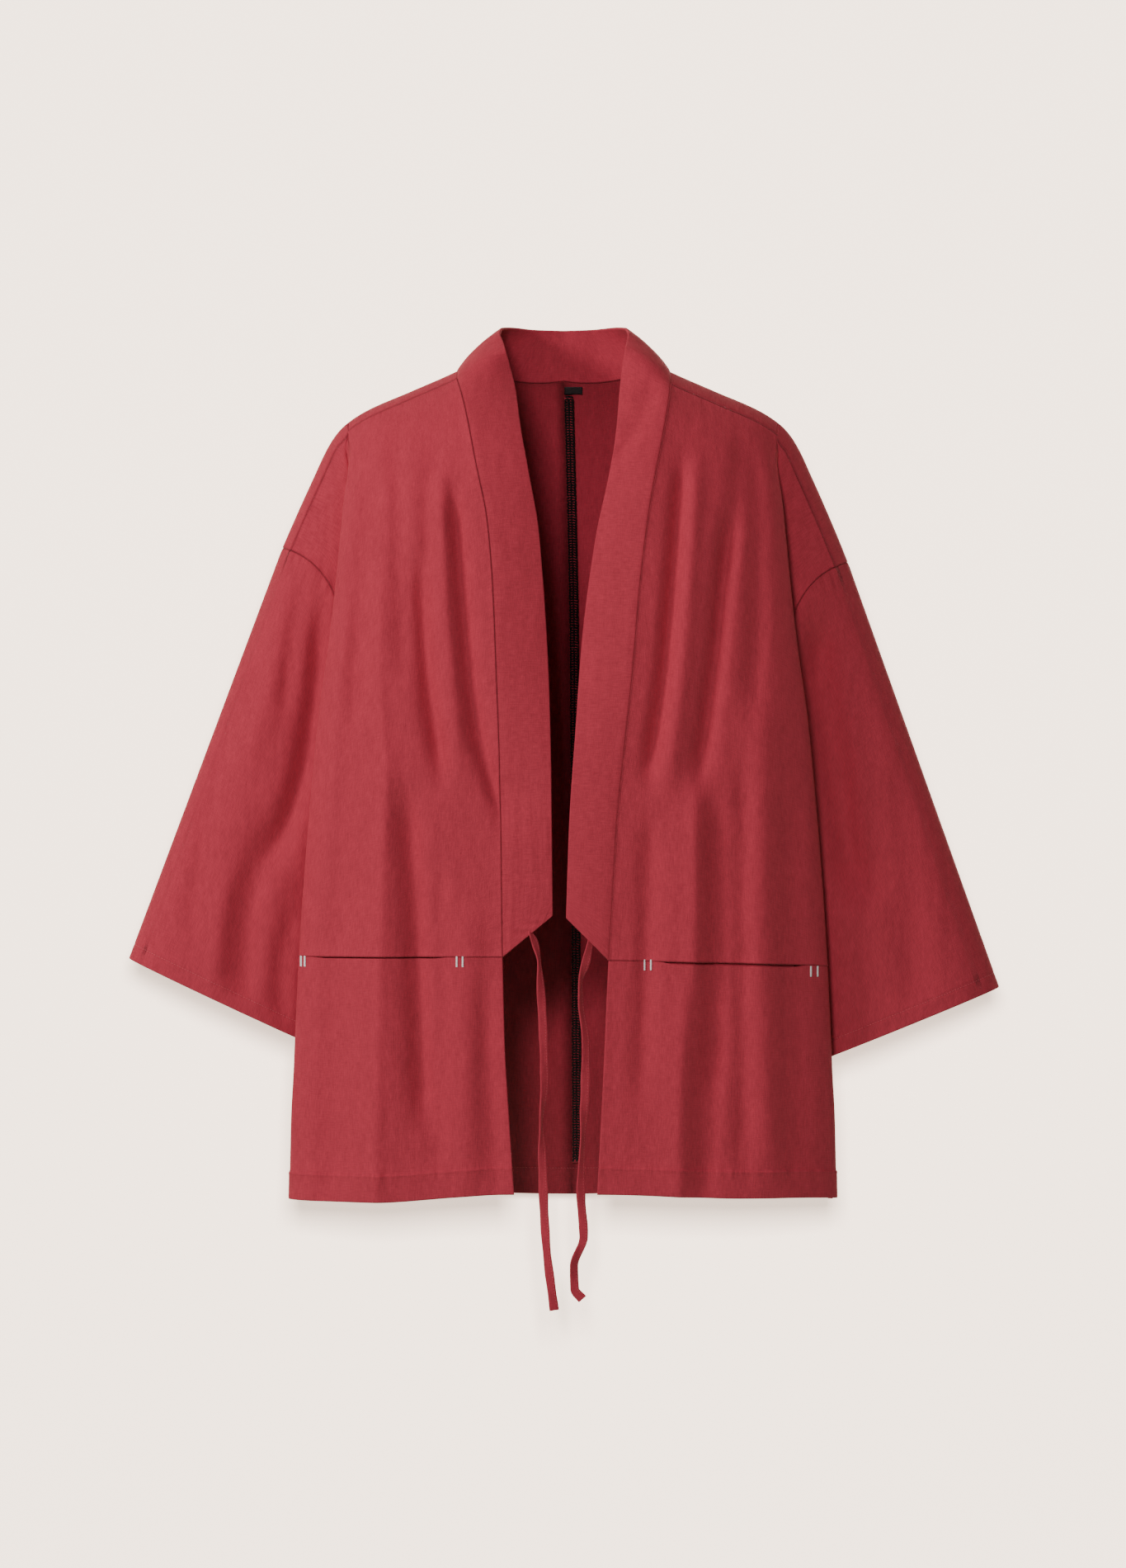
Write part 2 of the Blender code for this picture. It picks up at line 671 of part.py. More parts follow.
def add_object(name, points, faces, material):
    mesh = bpy.data.meshes.new(name)
    mesh.from_pydata([tuple(p) for p in points], [], faces)
    mesh.materials.append(material)
    mesh.validate()
    obj = bpy.data.objects.new(name, mesh)
    COLLECTION.objects.link(obj)
    return obj


def build_wall(sheet, material):
    """The sheet as a closed wall of cloth."""
    points = sheet.pulled_back()
    count = len(points)
    outer = points + sheet.normals * sheet.outer[:, None]
    inner = points - sheet.normals * sheet.inner[:, None]
    faces = [tuple(q) for q in sheet.quads]
    faces += [tuple(i + count for i in reversed(q)) for q in sheet.quads]
    faces += [(b, a, a + count, b + count) for a, b in sheet.border()]
    return add_object(sheet.name, np.concatenate([outer, inner]), faces, material)


def make_material(name, colour, roughness):
    material = bpy.data.materials.new(name)
    material.use_nodes = True
    shader = material.node_tree.nodes["Principled BSDF"]
    shader.inputs["Base Color"].default_value = (*colour, 1.0)
    shader.inputs["Roughness"].default_value = roughness
    material.diffuse_color = (*colour, 1.0)
    return material


def front_columns():
    face = np.linspace(0, 1, FACE_COLUMNS + 1)
    wrap = 1 + np.linspace(0, 1, WRAP_COLUMNS + 1)[1:]
    return np.concatenate([face, wrap])


def column_top(side, back, columns):
    """Height of every column's upper end."""
    face = shoulder_top(side, back, np.clip(columns, 0, 1))
    wrap, _, _ = wrap_top(side, back, np.clip(columns - 1, 0, 1))
    return np.where(columns > 1, wrap, face)


def pocket_height(side, columns):
    """Height of the seam across the front."""
    return blend(side.pocket_inner_z, side.pocket_outer_z, np.clip(columns, 0, 1))


def hem_height(side, back, columns):
    """Height of the hem."""
    across = np.clip(columns / 2, 0, 1)
    inner = BACK_HEM_Z if back else side.hem_inner_z
    middle = blend(inner, side.hem_middle_z, ease(np.clip(columns, 0, 1) / 0.45))
    return blend(middle, side.hem_outer_z, ease((across - 0.3) / 0.4))


def upper_shares(side, back):
    """Shares of the way down from a column's top to the pocket's height."""
    turn = 0.0 if back else seam_turn(side)
    turns = np.linspace(turn, math.pi, ARM_ROWS + 1)
    arm = ring_point(side, turns)[2]
    low = pocket_height(side, np.array([2.0]))[0]
    rest = np.linspace(arm[-1], low, SIDE_ROWS + 1)[1:]
    heights = np.concatenate([arm, rest])
    return (heights[0] - heights) / (heights[0] - low)


def panel_rows(side, back, columns, upper):
    """Heights of the rows of the upper or the lower part."""
    pocket = pocket_height(side, columns)
    if upper:
        top = column_top(side, back, columns)
        shares = upper_shares(side, back)
        return top[None, :] + (pocket - top)[None, :] * shares[:, None]
    hem = hem_height(side, back, columns)
    shares = np.append(np.linspace(0, 1, LOWER_ROWS)[:-1] * (1 - 0.14), [1 - 0.10, 1.0])
    return pocket[None, :] + (hem - pocket)[None, :] * shares[:, None]


def oriented(side, quads, flip):
    """Faces turned so that they look outward on either side."""
    turned = (side.sign > 0) != flip
    return [tuple(reversed(q)) if turned else q for q in quads]


def thicken_hem(sheet, low_z, slack):
    """A second layer on the inside of the hem."""
    near = sheet.points[:, 2] < low_z + slack
    sheet.inner = np.where(near, sheet.inner + HEM_FOLD, sheet.inner)


def front_grid(side, upper):
    columns = front_columns()
    rows = panel_rows(side, False, columns, upper)
    return panel_point(side, False, np.broadcast_to(columns, rows.shape), rows)


def front_sheet(side, upper):
    grid = front_grid(side, upper)
    rows, count = grid.shape[:2]
    quads = oriented(side, grid_quads(rows, count), False)
    part = "upper" if upper else "lower"
    if not upper:
        opening = POCKET[side.name]
        out = np.abs(grid[0, :, 0])
        open_here = ease((out - opening.inner_out) / 0.03) * ease((opening.outer_out - out) / 0.03)
        open_here = open_here * (front_columns() <= 1)
        grid[0, :, 2] -= 2 * side.pocket_gape * open_here
    sheet = Sheet(f"front_{part}_{side.name}", grid.reshape(-1, 3), quads)
    if not upper:
        thicken_hem(sheet, side.hem_middle_z, 0.026)
    return sheet


def neck_top(side):
    """The back's neck seam from the middle to the ridge: outs, heights and depths."""
    turn = np.linspace(0, 1, NECK_COLUMNS + 1)
    share = np.sin(turn * math.pi / 2) ** 0.9
    out = side.sign * BACK_SEAM_X(0.005) * (1 - share) + NECK_OUT * share
    y = 0.063 * np.sqrt(np.maximum(1 - (np.abs(out) / NECK_OUT) ** 2.4, 0))
    full = face_depth(True, out, np.full(out.shape, 0.005))
    drop = SHOULDER_DROP * (1 - np.sqrt(1 - np.minimum(y / full, 0.999) ** 2))
    return out, RIDGE_Z(out) - drop, y


def back_grids(side):
    """The back panel as a main grid and the strip in front of the ridge."""
    columns = front_columns()
    front_top = front_grid(side, True)[0]
    face = columns <= 1
    out = np.abs(front_top[face, 0])
    inner = side.sign * BACK_SEAM_X(0.01)
    edge = EDGE_OUT(np.array([0.0]))[0]
    shoulder = 1 - np.clip((edge - out) / (edge - inner), 0, 1) ** (1 / FACE_SPREAD)
    neck_out, neck_z, _ = neck_top(side)
    neck = 1 - np.clip((edge - neck_out) / (edge - inner), 0, 1) ** (1 / FACE_SPREAD)
    main = np.concatenate([neck[:-1], shoulder, columns[~face]])
    top = column_top(side, True, main)
    top[:NECK_COLUMNS] = neck_z[:-1]
    pocket = pocket_height(side, main)
    shares = upper_shares(side, True)
    upper = top[None, :] + (pocket - top)[None, :] * shares[:, None]
    hem = hem_height(side, True, main)
    low_shares = np.append(np.linspace(0, 1, LOWER_ROWS)[:-1] * (1 - 0.14), [1 - 0.10, 1.0])
    lower = pocket[None, :] + (hem - pocket)[None, :] * low_shares[1:, None]
    heights = np.concatenate([upper, lower])
    grid = panel_point(side, True, np.broadcast_to(main, heights.shape), heights)
    # The strip from the shoulder seam up to the ridge.
    ridge = grid[0, NECK_COLUMNS:]
    strip = []
    for row in range(STRIP_ROWS + 1):
        share = row / STRIP_ROWS
        rise = 1 - (1 - share) ** 2
        strip.append(front_top + (ridge - front_top) * np.array([rise, share, rise]))
    return grid, np.array(strip)


def back_sheet(side):
    grid, strip = back_grids(side)
    rows, count = grid.shape[:2]
    quads = grid_quads(rows, count)
    points = grid.reshape(-1, 3)
    first = len(points)
    quads += grid_quads(strip.shape[0], strip.shape[1], first)
    points = np.concatenate([points, strip.reshape(-1, 3)])
    sheet = Sheet(f"back_{side.name}", points, oriented(side, quads, True))
    thicken_hem(sheet, BACK_HEM_Z, 0.026)
    return sheet


def sleeve_turns(side):
    """Places round the sleeve: down the front, then up the back and over the top."""
    start = seam_turn(side)
    front = np.linspace(start, math.pi, ARM_ROWS + 1)
    back = np.linspace(0, math.pi, ARM_ROWS + 1)
    return front, -back[::-1][1:]


def sleeve_sheet(side):
    front, back = sleeve_turns(side)
    turns = np.concatenate([front, back])
    grid, strip = back_grids(side)
    front_arm = front_grid(side, True)[: ARM_ROWS + 1, -1]
    back_arm = grid[:ARM_ROWS, -1][::-1]
    between = np.linspace(0, seam_turn(side), STRIP_ROWS + 1)[1:-1]
    start = np.concatenate([front_arm, back_arm, strip[:, -1][::-1][1:-1]])
    turns = np.concatenate([turns, between])
    end = np.stack(cuff_point(side, turns), axis=-1)
    end[:, 0] *= side.sign
    shares = np.append(np.linspace(0, 1, SLEEVE_ROWS)[:-1] * (1 - 0.075), [1 - 0.05, 1.0])
    grid = start[None] + (end - start)[None] * shares[:, None, None]
    fade = np.minimum(ease(shares / 0.15), ease((1.0 - shares) / 0.12 + 0.25))[:, None]
    out = np.abs(grid[..., 0])
    for face, sign in (("front", -1.0), ("back", 1.0)):
        moved = fold_depth(SLEEVE_FOLDS[(side.name, face)], out, grid[..., 2]) * fade
        here = np.sign(turns) == -sign
        grid[..., 1] -= sign * moved * here * np.abs(np.sin(turns)) ** 0.5
    quads = oriented(side, grid_quads(len(shares), len(turns), closed=True), False)
    sheet = Sheet(f"sleeve_{side.name}", grid.reshape(-1, 3), quads)
    distance = np.linalg.norm(grid[-1] - grid[-3], axis=-1).mean()
    last = {tuple(np.round(p / 1e-7)) for p in grid[-3:].reshape(-1, 3)}
    near = np.array([tuple(np.round(p / 1e-7)) in last for p in sheet.points])
    sheet.inner = np.where(near & (distance > 0), sheet.inner + HEM_FOLD, sheet.inner)
    return sheet


def collar_half(side):
    """Seam and free edge of half the collar, from its lower end to the middle back."""
    column = front_grid(side, True)[::-1, 0]
    _, strip = back_grids(side)
    grid, _ = back_grids(side)
    seam = [tuple(p) for p in column]
    seam += [tuple(p) for p in strip[1:, 0]]
    seam += [tuple(p) for p in grid[0, :NECK_COLUMNS][::-1]]
    seam = np.array(seam)
    turn = [s.turn for s in NECK_STATIONS]
    neck = {key: smooth_table(turn, [getattr(s, key) for s in NECK_STATIONS])
            for key in ("edge_out", "edge_y", "edge_z", "bulge")}
    shift = FREE_OUT[side.name](0.030) - neck["edge_out"](2.0)
    free = []
    bulge = []
    for i, point in enumerate(seam):
        if i < len(column):
            z = point[2] + float(COLLAR_RISE(point[2]))
            out = float(FREE_OUT[side.name](z))
            depth = float(shaped_depth(False, out, z))
            near = float(ease((z + 0.090) / 0.115))
            y = -blend(depth, -float(neck["edge_y"](2.0)), near ** 2)
            free.append((side.sign * out, y, z))
            bulge.append(blend(0.0015, 0.0030, near))
            continue
        if i < len(column) + STRIP_ROWS:
            t = 2 - (i - len(column) + 1) / STRIP_ROWS
        else:
            t = 1 - (i - len(column) - STRIP_ROWS + 1) / NECK_COLUMNS
        out = float(neck["edge_out"](t)) + shift * float(ease(t / 2))
        if t == 0:
            out = side.sign * float(BACK_SEAM_X(0.005))
        free.append((side.sign * out, float(neck["edge_y"](t)), float(neck["edge_z"](t))))
        bulge.append(float(neck["bulge"](t)))
    return seam, np.array(free), np.array(bulge)


def collar_sheet():
    right_seam, right_free, right_bulge = collar_half(RIGHT)
    left_seam, left_free, left_bulge = collar_half(LEFT)
    seam = np.concatenate([right_seam, left_seam[::-1][1:]])
    free = np.concatenate([right_free, left_free[::-1][1:]])
    bulge = np.concatenate([right_bulge, left_bulge[::-1][1:]])
    along = np.gradient(seam, axis=0) + np.gradient(free, axis=0)
    outward = np.cross(free - seam, along)
    outward /= np.linalg.norm(outward, axis=1)[:, None]
    shares = np.linspace(0, 1, COLLAR_COLUMNS + 1)
    grid = np.array([
        seam + (free - seam) * s + outward * (bulge * 4 * s * (1 - s))[:, None] for s in shares
    ])
    quads = grid_quads(grid.shape[0], grid.shape[1])
    sheet = Sheet("collar", grid.reshape(-1, 3), quads, BAND_CLOTH / 2, BAND_CLOTH / 2)
    front = np.argmin(sheet.points[:, 1])
    if sheet.normals[front, 1] > 0:
        sheet.quads = [tuple(reversed(q)) for q in sheet.quads]
        sheet.normals = -sheet.normals
    return sheet


def on_face(side, back, out, z):
    """A place on a panel's face from how far out it lies."""
    edge = EDGE_OUT(z)
    inner = side.sign * BACK_SEAM_X(z) if back else COLLAR_SEAM_OUT[side.name](z)
    share = 1 - np.clip((edge - out) / (edge - inner), 0, 1) ** (1 / FACE_SPREAD)
    return panel_point(side, back, share, z)


def laid_patch(name, side, back, outs, heights, offset, thick, columns, rows, material,
               follow=None):
    """A thin patch on a panel, made from the panel's own places moved out."""
    out = np.linspace(outs[0], outs[1], columns)[None, :] * np.ones((rows, 1))
    z = np.linspace(heights[0], heights[1], rows)[:, None] * np.ones((1, columns))
    if follow is not None:
        out = out + follow(z)
    grid = on_face(side, back, out, z)
    ahead = on_face(side, back, out + 0.001, z)
    below = on_face(side, back, out, z - 0.001)
    normal = np.cross(ahead - grid, below - grid) * side.sign * (1 if back else -1)
    normal /= np.linalg.norm(normal, axis=-1)[..., None]
    offsets = np.linspace(offset[0], offset[1], rows) if isinstance(offset, tuple) else offset
    grid = grid + normal * np.reshape(offsets * np.ones(rows), (rows, 1, 1))
    quads = grid_quads(rows, columns)
    sheet = Sheet(name, grid.reshape(-1, 3), quads, thick / 2, thick / 2)
    if (sheet.normals[:, 1].mean() > 0) != back:
        sheet.quads = [tuple(reversed(q)) for q in sheet.quads]
        sheet.normals = -sheet.normals
    return build_wall(sheet, material)


def tie_object(side, material):
    """A flat tie as a ribbon that turns about its centre line."""
    rows = TIES[side.name]
    lengths = [0.0]
    for a, b in zip(rows, rows[1:]):
        lengths.append(lengths[-1] + math.dist(a[:3], b[:3]))
    table = [smooth_table(lengths, [getattr(r, key) for r in rows]) for key in "xyz"]
    turn = smooth_table(lengths, [r.turn for r in rows])
    stations = np.linspace(0, lengths[-1], 27)
    centre = np.stack([t(stations) for t in table], axis=-1)
    tangent = np.gradient(centre, axis=0)
    tangent /= np.linalg.norm(tangent, axis=1)[:, None]
    angle = np.radians(turn(stations))
    across = np.stack([np.cos(angle), np.sin(angle), np.zeros(len(angle))], axis=-1)
    across -= tangent * np.sum(across * tangent, axis=1)[:, None]
    across /= np.linalg.norm(across, axis=1)[:, None]
    flat = np.cross(tangent, across)
    half = TIE_WIDTH / 2
    thick = TIE_THICK / 2
    corners = ((half, thick * 0.6), (half * 0.8, thick), (-half * 0.8, thick),
               (-half, thick * 0.6), (-half, -thick * 0.6), (-half * 0.8, -thick),
               (half * 0.8, -thick), (half, -thick * 0.6))
    points = []
    for c, a, f in zip(centre, across, flat):
        points += [c + a * u + f * v for u, v in corners]
    n = len(corners)
    faces = [
        (r * n + c, r * n + (c + 1) % n, (r + 1) * n + (c + 1) % n, (r + 1) * n + c)
        for r in range(len(stations) - 1) for c in range(n)
    ]
    faces.append(tuple(range(n))[::-1])
    last = (len(stations) - 1) * n
    faces.append(tuple(range(last, last + n)))
    return add_object(f"tie_{side.name}", points, faces, material)


def build():
    """Every piece of the jacket."""
    red = (0.43, 0.045, 0.030)
    sheets = [collar_sheet()]
    for side in (RIGHT, LEFT):
        sheets += [front_sheet(side, True), front_sheet(side, False)]
        sheets += [back_sheet(side), sleeve_sheet(side)]
    open_seams(sheets)
    for sheet in sheets:
        build_wall(sheet, make_material(f"{sheet.name}_cloth", red, 0.9))
    for side in (RIGHT, LEFT):
        span = POCKET[side.name]
        seam_z = side.pocket_inner_z
        white = make_material(f"bar_tack_{side.name}_thread", (0.8, 0.76, 0.7), 0.8)
        for i, out in enumerate(TACK_OUT[side.name]):
            centre = seam_z - 0.004 - (side.pocket_inner_z - side.pocket_outer_z) * (i > 1)
            laid_patch(
                f"bar_tack_{side.name}_{i + 1}", side, False,
                (out - TACK_WIDTH / 2, out + TACK_WIDTH / 2),
                (centre + TACK_HEIGHT / 2, centre - TACK_HEIGHT / 2),
                CLOTH / 2 + LAID_GAP + TACK_THICK / 2 + 0.0002, TACK_THICK, 3, 5, white,
            )
        laid_patch(
            f"pocket_bag_{side.name}", side, False,
            (span.inner_out + 0.004, span.outer_out - 0.012),
            (seam_z + 0.012, seam_z - BAG_DEPTH),
            (-BAG_TOP_OFFSET, -BAG_OFFSET), CLOTH, 12, 6, make_material(f"pocket_bag_{side.name}_cloth", red, 0.9),
        )
        tie_object(side, make_material(f"tie_{side.name}_cloth", red, 0.9))
    laid_patch(
        "back_seam_allowance", LEFT, True,
        (0.0004, 0.0004 + ALLOWANCE_WIDTH), (-0.006, -0.712),
        -(CLOTH / 2 + LAID_GAP + ALLOWANCE_THICK / 2 + 0.0012), ALLOWANCE_THICK, 3, 15,
        make_material("back_seam_allowance_cloth", (0.05, 0.02, 0.02), 0.9), BACK_SEAM_X,
    )
    laid_patch(
        "neck_label", LEFT, True, (0.0014, 0.0014 + LABEL_WIDTH), (0.0030, 0.0030 - LABEL_HEIGHT),
        -(CLOTH / 2 + LAID_GAP + 0.0003 + 0.0002), 0.0006, 4, 3,
        make_material("neck_label_tape", (0.012, 0.012, 0.014), 0.8),
    )


for old in list(bpy.data.objects):
    bpy.data.objects.remove(old, do_unlink=True)
COLLECTION = bpy.data.collections.new("kimono_jacket")
bpy.context.scene.collection.children.link(COLLECTION)
build()
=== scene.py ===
"""Red kimono jacket, hollow as on an unseen wearer, as the studio photograph shows it.

The cloth pieces are thin two-sided sheets worked out from the jacket's named sizes.
Creases, seams, stitches, ties and the cloth's finish are laid over that form. Metres,
+Z up, the open front faces -Y and +X is the wearer's left.
"""

from __future__ import annotations

import json
import logging
import math
from dataclasses import dataclass, field
from enum import Enum
from typing import NamedTuple, Sequence

import bpy
import numpy as np
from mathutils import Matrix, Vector


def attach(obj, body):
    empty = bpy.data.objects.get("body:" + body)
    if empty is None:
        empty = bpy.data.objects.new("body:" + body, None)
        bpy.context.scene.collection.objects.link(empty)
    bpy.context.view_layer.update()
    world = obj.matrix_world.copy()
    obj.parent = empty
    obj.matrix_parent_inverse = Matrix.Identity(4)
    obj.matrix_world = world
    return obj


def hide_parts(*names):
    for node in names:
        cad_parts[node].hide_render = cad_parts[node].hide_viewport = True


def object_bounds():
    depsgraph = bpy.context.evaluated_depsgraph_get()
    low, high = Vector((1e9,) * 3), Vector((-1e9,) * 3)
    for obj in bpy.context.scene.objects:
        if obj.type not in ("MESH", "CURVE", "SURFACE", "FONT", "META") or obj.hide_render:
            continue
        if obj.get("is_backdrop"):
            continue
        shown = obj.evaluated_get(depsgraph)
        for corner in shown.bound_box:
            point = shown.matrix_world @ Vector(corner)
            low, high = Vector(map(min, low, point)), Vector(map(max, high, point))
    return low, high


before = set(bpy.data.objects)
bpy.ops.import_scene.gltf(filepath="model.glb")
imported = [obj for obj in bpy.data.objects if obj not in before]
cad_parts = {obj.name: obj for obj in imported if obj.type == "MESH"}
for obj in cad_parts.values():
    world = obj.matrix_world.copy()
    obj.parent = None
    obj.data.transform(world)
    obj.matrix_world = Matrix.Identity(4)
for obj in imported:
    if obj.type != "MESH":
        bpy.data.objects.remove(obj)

LOG = logging.getLogger("kimono_jacket")
Array = np.ndarray
FORWARD = np.array([0.0, -1.0, 0.0])
Colour = tuple[float, float, float]

# Cloth thicknesses and seam sizes.
CLOTH = 0.0012
BAND_CLOTH = 0.0026
HEM_FOLD = 0.0009
EDGE_STITCH_IN = 0.0052
POCKET_STITCH_DOWN = 0.0066
SHOULDER_STITCH_IN = 0.0022

# Points nearer than this join. The wall's edge keeps this share of its thickness.
WELD_STEP = 2e-7
EDGE_SHARE = 0.62

# Steps that a panel's direction is measured over: columns, then metres down.
COLUMN_STEP = 0.004
HEIGHT_STEP = 0.0008

# Body form.
SHOULDER_DROP = 0.130
FACE_POWER = 3.0
FACE_SPREAD = 1.6
DEPTH_POWER = 0.62
SIDE_FADE = 0.25
NECK_OUT = 0.0965
NECK_DEPTH = 0.063
NECK_POWER = 2.4
NECK_Z = 0.005
BACK_HEM_Z = -0.741

# The shoulder's line slopes by the angle with this cosine.
RIDGE_COSINE = 0.92

# Armhole ring and sleeve. The ring leans in by the angle with this sine and cosine.
ARMHOLE_WIDTH = 0.133
ARMHOLE_SLANT = 0.190
ARMHOLE_SLANT_POWER = 2.6
RING_SINE = 0.350
RING_COSINE = 0.937
ARM_HALF_DEPTH = 0.036
ARM_ROUNDING = 0.8
CUFF_WIDTH = 0.200
CUFF_HALF_DEPTH = 0.040

# The tables' folds are this much deeper here, and fade in and out over this height.
FOLD_GAIN = 1.25
FOLD_FADE = 0.06


class Curve:
    """Monotone cubic through a short table, held flat beyond its ends."""

    def __init__(self, xs: Sequence[float], ys: Sequence[float]) -> None:
        """Takes the table.

        Args:
            xs: Places, in any order.
            ys: The value at each place.
        """
        order = np.argsort(xs)
        self.xs = np.asarray(xs, float)[order]
        self.ys = np.asarray(ys, float)[order]
        self.step = np.diff(self.xs)
        slope = np.diff(self.ys) / self.step
        self.tangent = np.zeros_like(self.ys)
        same = slope[:-1] * slope[1:] > 0
        total = np.where(same, slope[:-1] + slope[1:], 1)
        self.tangent[1:-1] = np.where(same, 2 * slope[:-1] * slope[1:] / total, 0)
        self.tangent[0] = slope[0]
        self.tangent[-1] = slope[-1]

    def __call__(self, x: Array | float) -> Array:
        """Value at x.

        Args:
            x: One place or an array of places.

        Returns:
            The table's value there.
        """
        x = np.clip(np.asarray(x, float), self.xs[0], self.xs[-1])
        i = np.clip(np.searchsorted(self.xs, x) - 1, 0, len(self.step) - 1)
        s = (x - self.xs[i]) / self.step[i]
        level = self.ys[i] * (1 + 2 * s) * (1 - s) ** 2 + self.ys[i + 1] * s * s * (3 - 2 * s)
        lean = self.tangent[i] * s * (1 - s) ** 2 - self.tangent[i + 1] * s * s * (1 - s)
        return level + self.step[i] * lean


def blend(a: Array | float, b: Array | float, share: Array | float) -> Array | float:
    """Straight mix of a and b."""
    return a + (b - a) * share


def ease(x: Array | float) -> Array:
    """0 below 0, 1 above 1, smooth between."""
    x = np.clip(x, 0.0, 1.0)
    return x * x * (3 - 2 * x)


def mound(distance: Array, reach: float) -> Array:
    """1 at a line, falling off evenly on both sides within a reach."""
    return np.exp(-((distance / reach) ** 2))


class Turning(NamedTuple):
    """Cloth turned inside along an open edge and stitched.

    Attributes:
        fold_up: How far up the turned cloth reaches.
        fold_fade: Over what distance its end levels out.
        stitch_up: How far up its stitches run.
        stitch_fade: How wide they draw the cloth in.
    """

    fold_up: float
    fold_fade: float
    stitch_up: float
    stitch_fade: float

    def form(self, up: Array) -> tuple[Array, Array]:
        """Thickness inside the surface and how near the stitches are, at heights over the edge."""
        inner = CLOTH / 2 + HEM_FOLD * ease((self.fold_up - up) / self.fold_fade)
        return inner, mound(up - self.stitch_up, self.stitch_fade)


HEM = Turning(0.0250, 0.0015, 0.0240, 0.0016)
CUFF = Turning(0.0150, 0.0012, 0.0140, 0.0014)


def lengths_along(points: Array) -> Array:
    """Distance along a line of points from its first one."""
    steps = np.linalg.norm(np.diff(points, axis=0), axis=1)
    return np.concatenate([[0], np.cumsum(steps)])


def rounding(t: Array | float) -> Array:
    """Depth of a quarter ellipse at t of its height, 1 from there on."""
    t = np.clip(t, 0.0, 1.0)
    return np.sqrt(np.maximum(1 - (1 - t) ** 2, 0))


def unit(vectors: Array) -> Array:
    """Vectors at length 1."""
    return vectors / np.maximum(np.linalg.norm(vectors, axis=-1, keepdims=True), 1e-12)


class Level(NamedTuple):
    """The body at one height."""

    z: float
    edge_out: float
    front_mid: float
    front_edge: float
    back_mid: float
    back_edge: float
    wall_out: float


LEVELS = (
    Level(0.040, 0.194, 0.082, 0.048, 0.094, 0.048, 0.192),
    Level(-0.045, 0.194, 0.088, 0.050, 0.095, 0.050, 0.191),
    Level(-0.065, 0.192, 0.090, 0.051, 0.096, 0.052, 0.186),
    Level(-0.105, 0.197, 0.093, 0.053, 0.098, 0.054, 0.186),
    Level(-0.178, 0.204, 0.096, 0.054, 0.099, 0.055, 0.186),
    Level(-0.240, 0.211, 0.097, 0.054, 0.098, 0.055, 0.184),
    Level(-0.300, 0.2195, 0.098, 0.054, 0.096, 0.054, 0.183),
    Level(-0.370, 0.2265, 0.098, 0.053, 0.093, 0.053, 0.182),
    Level(-0.435, 0.232, 0.098, 0.052, 0.090, 0.052, 0.184),
    Level(-0.500, 0.2365, 0.098, 0.052, 0.089, 0.052, 0.188),
    Level(-0.590, 0.241, 0.098, 0.051, 0.091, 0.051, 0.196),
    Level(-0.625, 0.2425, 0.098, 0.051, 0.092, 0.051, 0.202),
    Level(-0.660, 0.2445, 0.098, 0.050, 0.094, 0.051, 0.222),
    Level(-0.700, 0.2455, 0.098, 0.048, 0.096, 0.050, 0.236),
    Level(-0.750, 0.2465, 0.098, 0.046, 0.098, 0.048, 0.241),
)


class PanelFace(Enum):
    """Which half of the body a panel covers; the value is the way it faces along Y."""

    FRONT = -1
    BACK = 1

    @property
    def sign(self) -> float:
        """-1 in front and 1 behind."""
        return float(self.value)


class Fold(NamedTuple):
    """A trough (depth above 0) or ridge (below 0) through three places of a panel."""

    out_top: float
    z_top: float
    out_mid: float
    z_mid: float
    out_low: float
    z_low: float
    depth: float
    half_width: float
    skew: float = 0.0
    crisp: bool = False


LEVEL_Z = [level.z for level in LEVELS]
EDGE_OUT = Curve(LEVEL_Z, [level.edge_out for level in LEVELS])
WALL_OUT = Curve(LEVEL_Z, [level.wall_out for level in LEVELS])
MID_DEPTH = {
    PanelFace.FRONT: Curve(LEVEL_Z, [level.front_mid for level in LEVELS]),
    PanelFace.BACK: Curve(LEVEL_Z, [level.back_mid for level in LEVELS]),
}
SIDE_DEPTH = {
    PanelFace.FRONT: Curve(LEVEL_Z, [level.front_edge for level in LEVELS]),
    PanelFace.BACK: Curve(LEVEL_Z, [level.back_edge for level in LEVELS]),
}
RIDGE = (
    (0.000, 0.040),
    (0.060, 0.031),
    (0.097, 0.0115),
    (0.138, -0.0065),
    (0.180, -0.0250),
    (0.201, -0.0400),
    (0.212, -0.0550),
    (0.2265, -0.0850),
    (0.247, -0.1300),
    (0.2600, -0.1600),
    (0.2700, -0.1840),
)
RIDGE_Z = Curve([out for out, _ in RIDGE], [z for _, z in RIDGE])
RIDGE_OUT = Curve([z for _, z in RIDGE], [out for out, _ in RIDGE])
BACK_SEAM_X = Curve([-0.742, -0.250, 0.010], [0.0085, 0.0060, 0.0008])
COLLAR_RISE = Curve(
    [0.004, -0.019, -0.060, -0.125, -0.430, -0.475, -0.519],
    [0.0260, 0.0170, 0.0070, 0.0030, 0.0000, 0.0120, 0.0380],
)
NECK_TURN = [0.00, 0.33, 0.60, 0.85, 1.00, 1.50, 2.00]
NECK_EDGE_OUT = Curve(NECK_TURN, [0.0000, 0.0260, 0.0445, 0.0555, 0.0580, 0.0560, 0.0540])
NECK_EDGE_Y = Curve(NECK_TURN, [0.0575, 0.0530, 0.0420, 0.0230, 0.0040, -0.0100, -0.0230])
NECK_EDGE_Z = Curve(NECK_TURN, [0.0530, 0.0535, 0.0545, 0.0530, 0.0470, 0.0385, 0.0300])
NECK_BULGE = Curve(NECK_TURN, [0.0010, 0.0020, 0.0030, 0.0035, 0.0035, 0.0035, 0.0030])


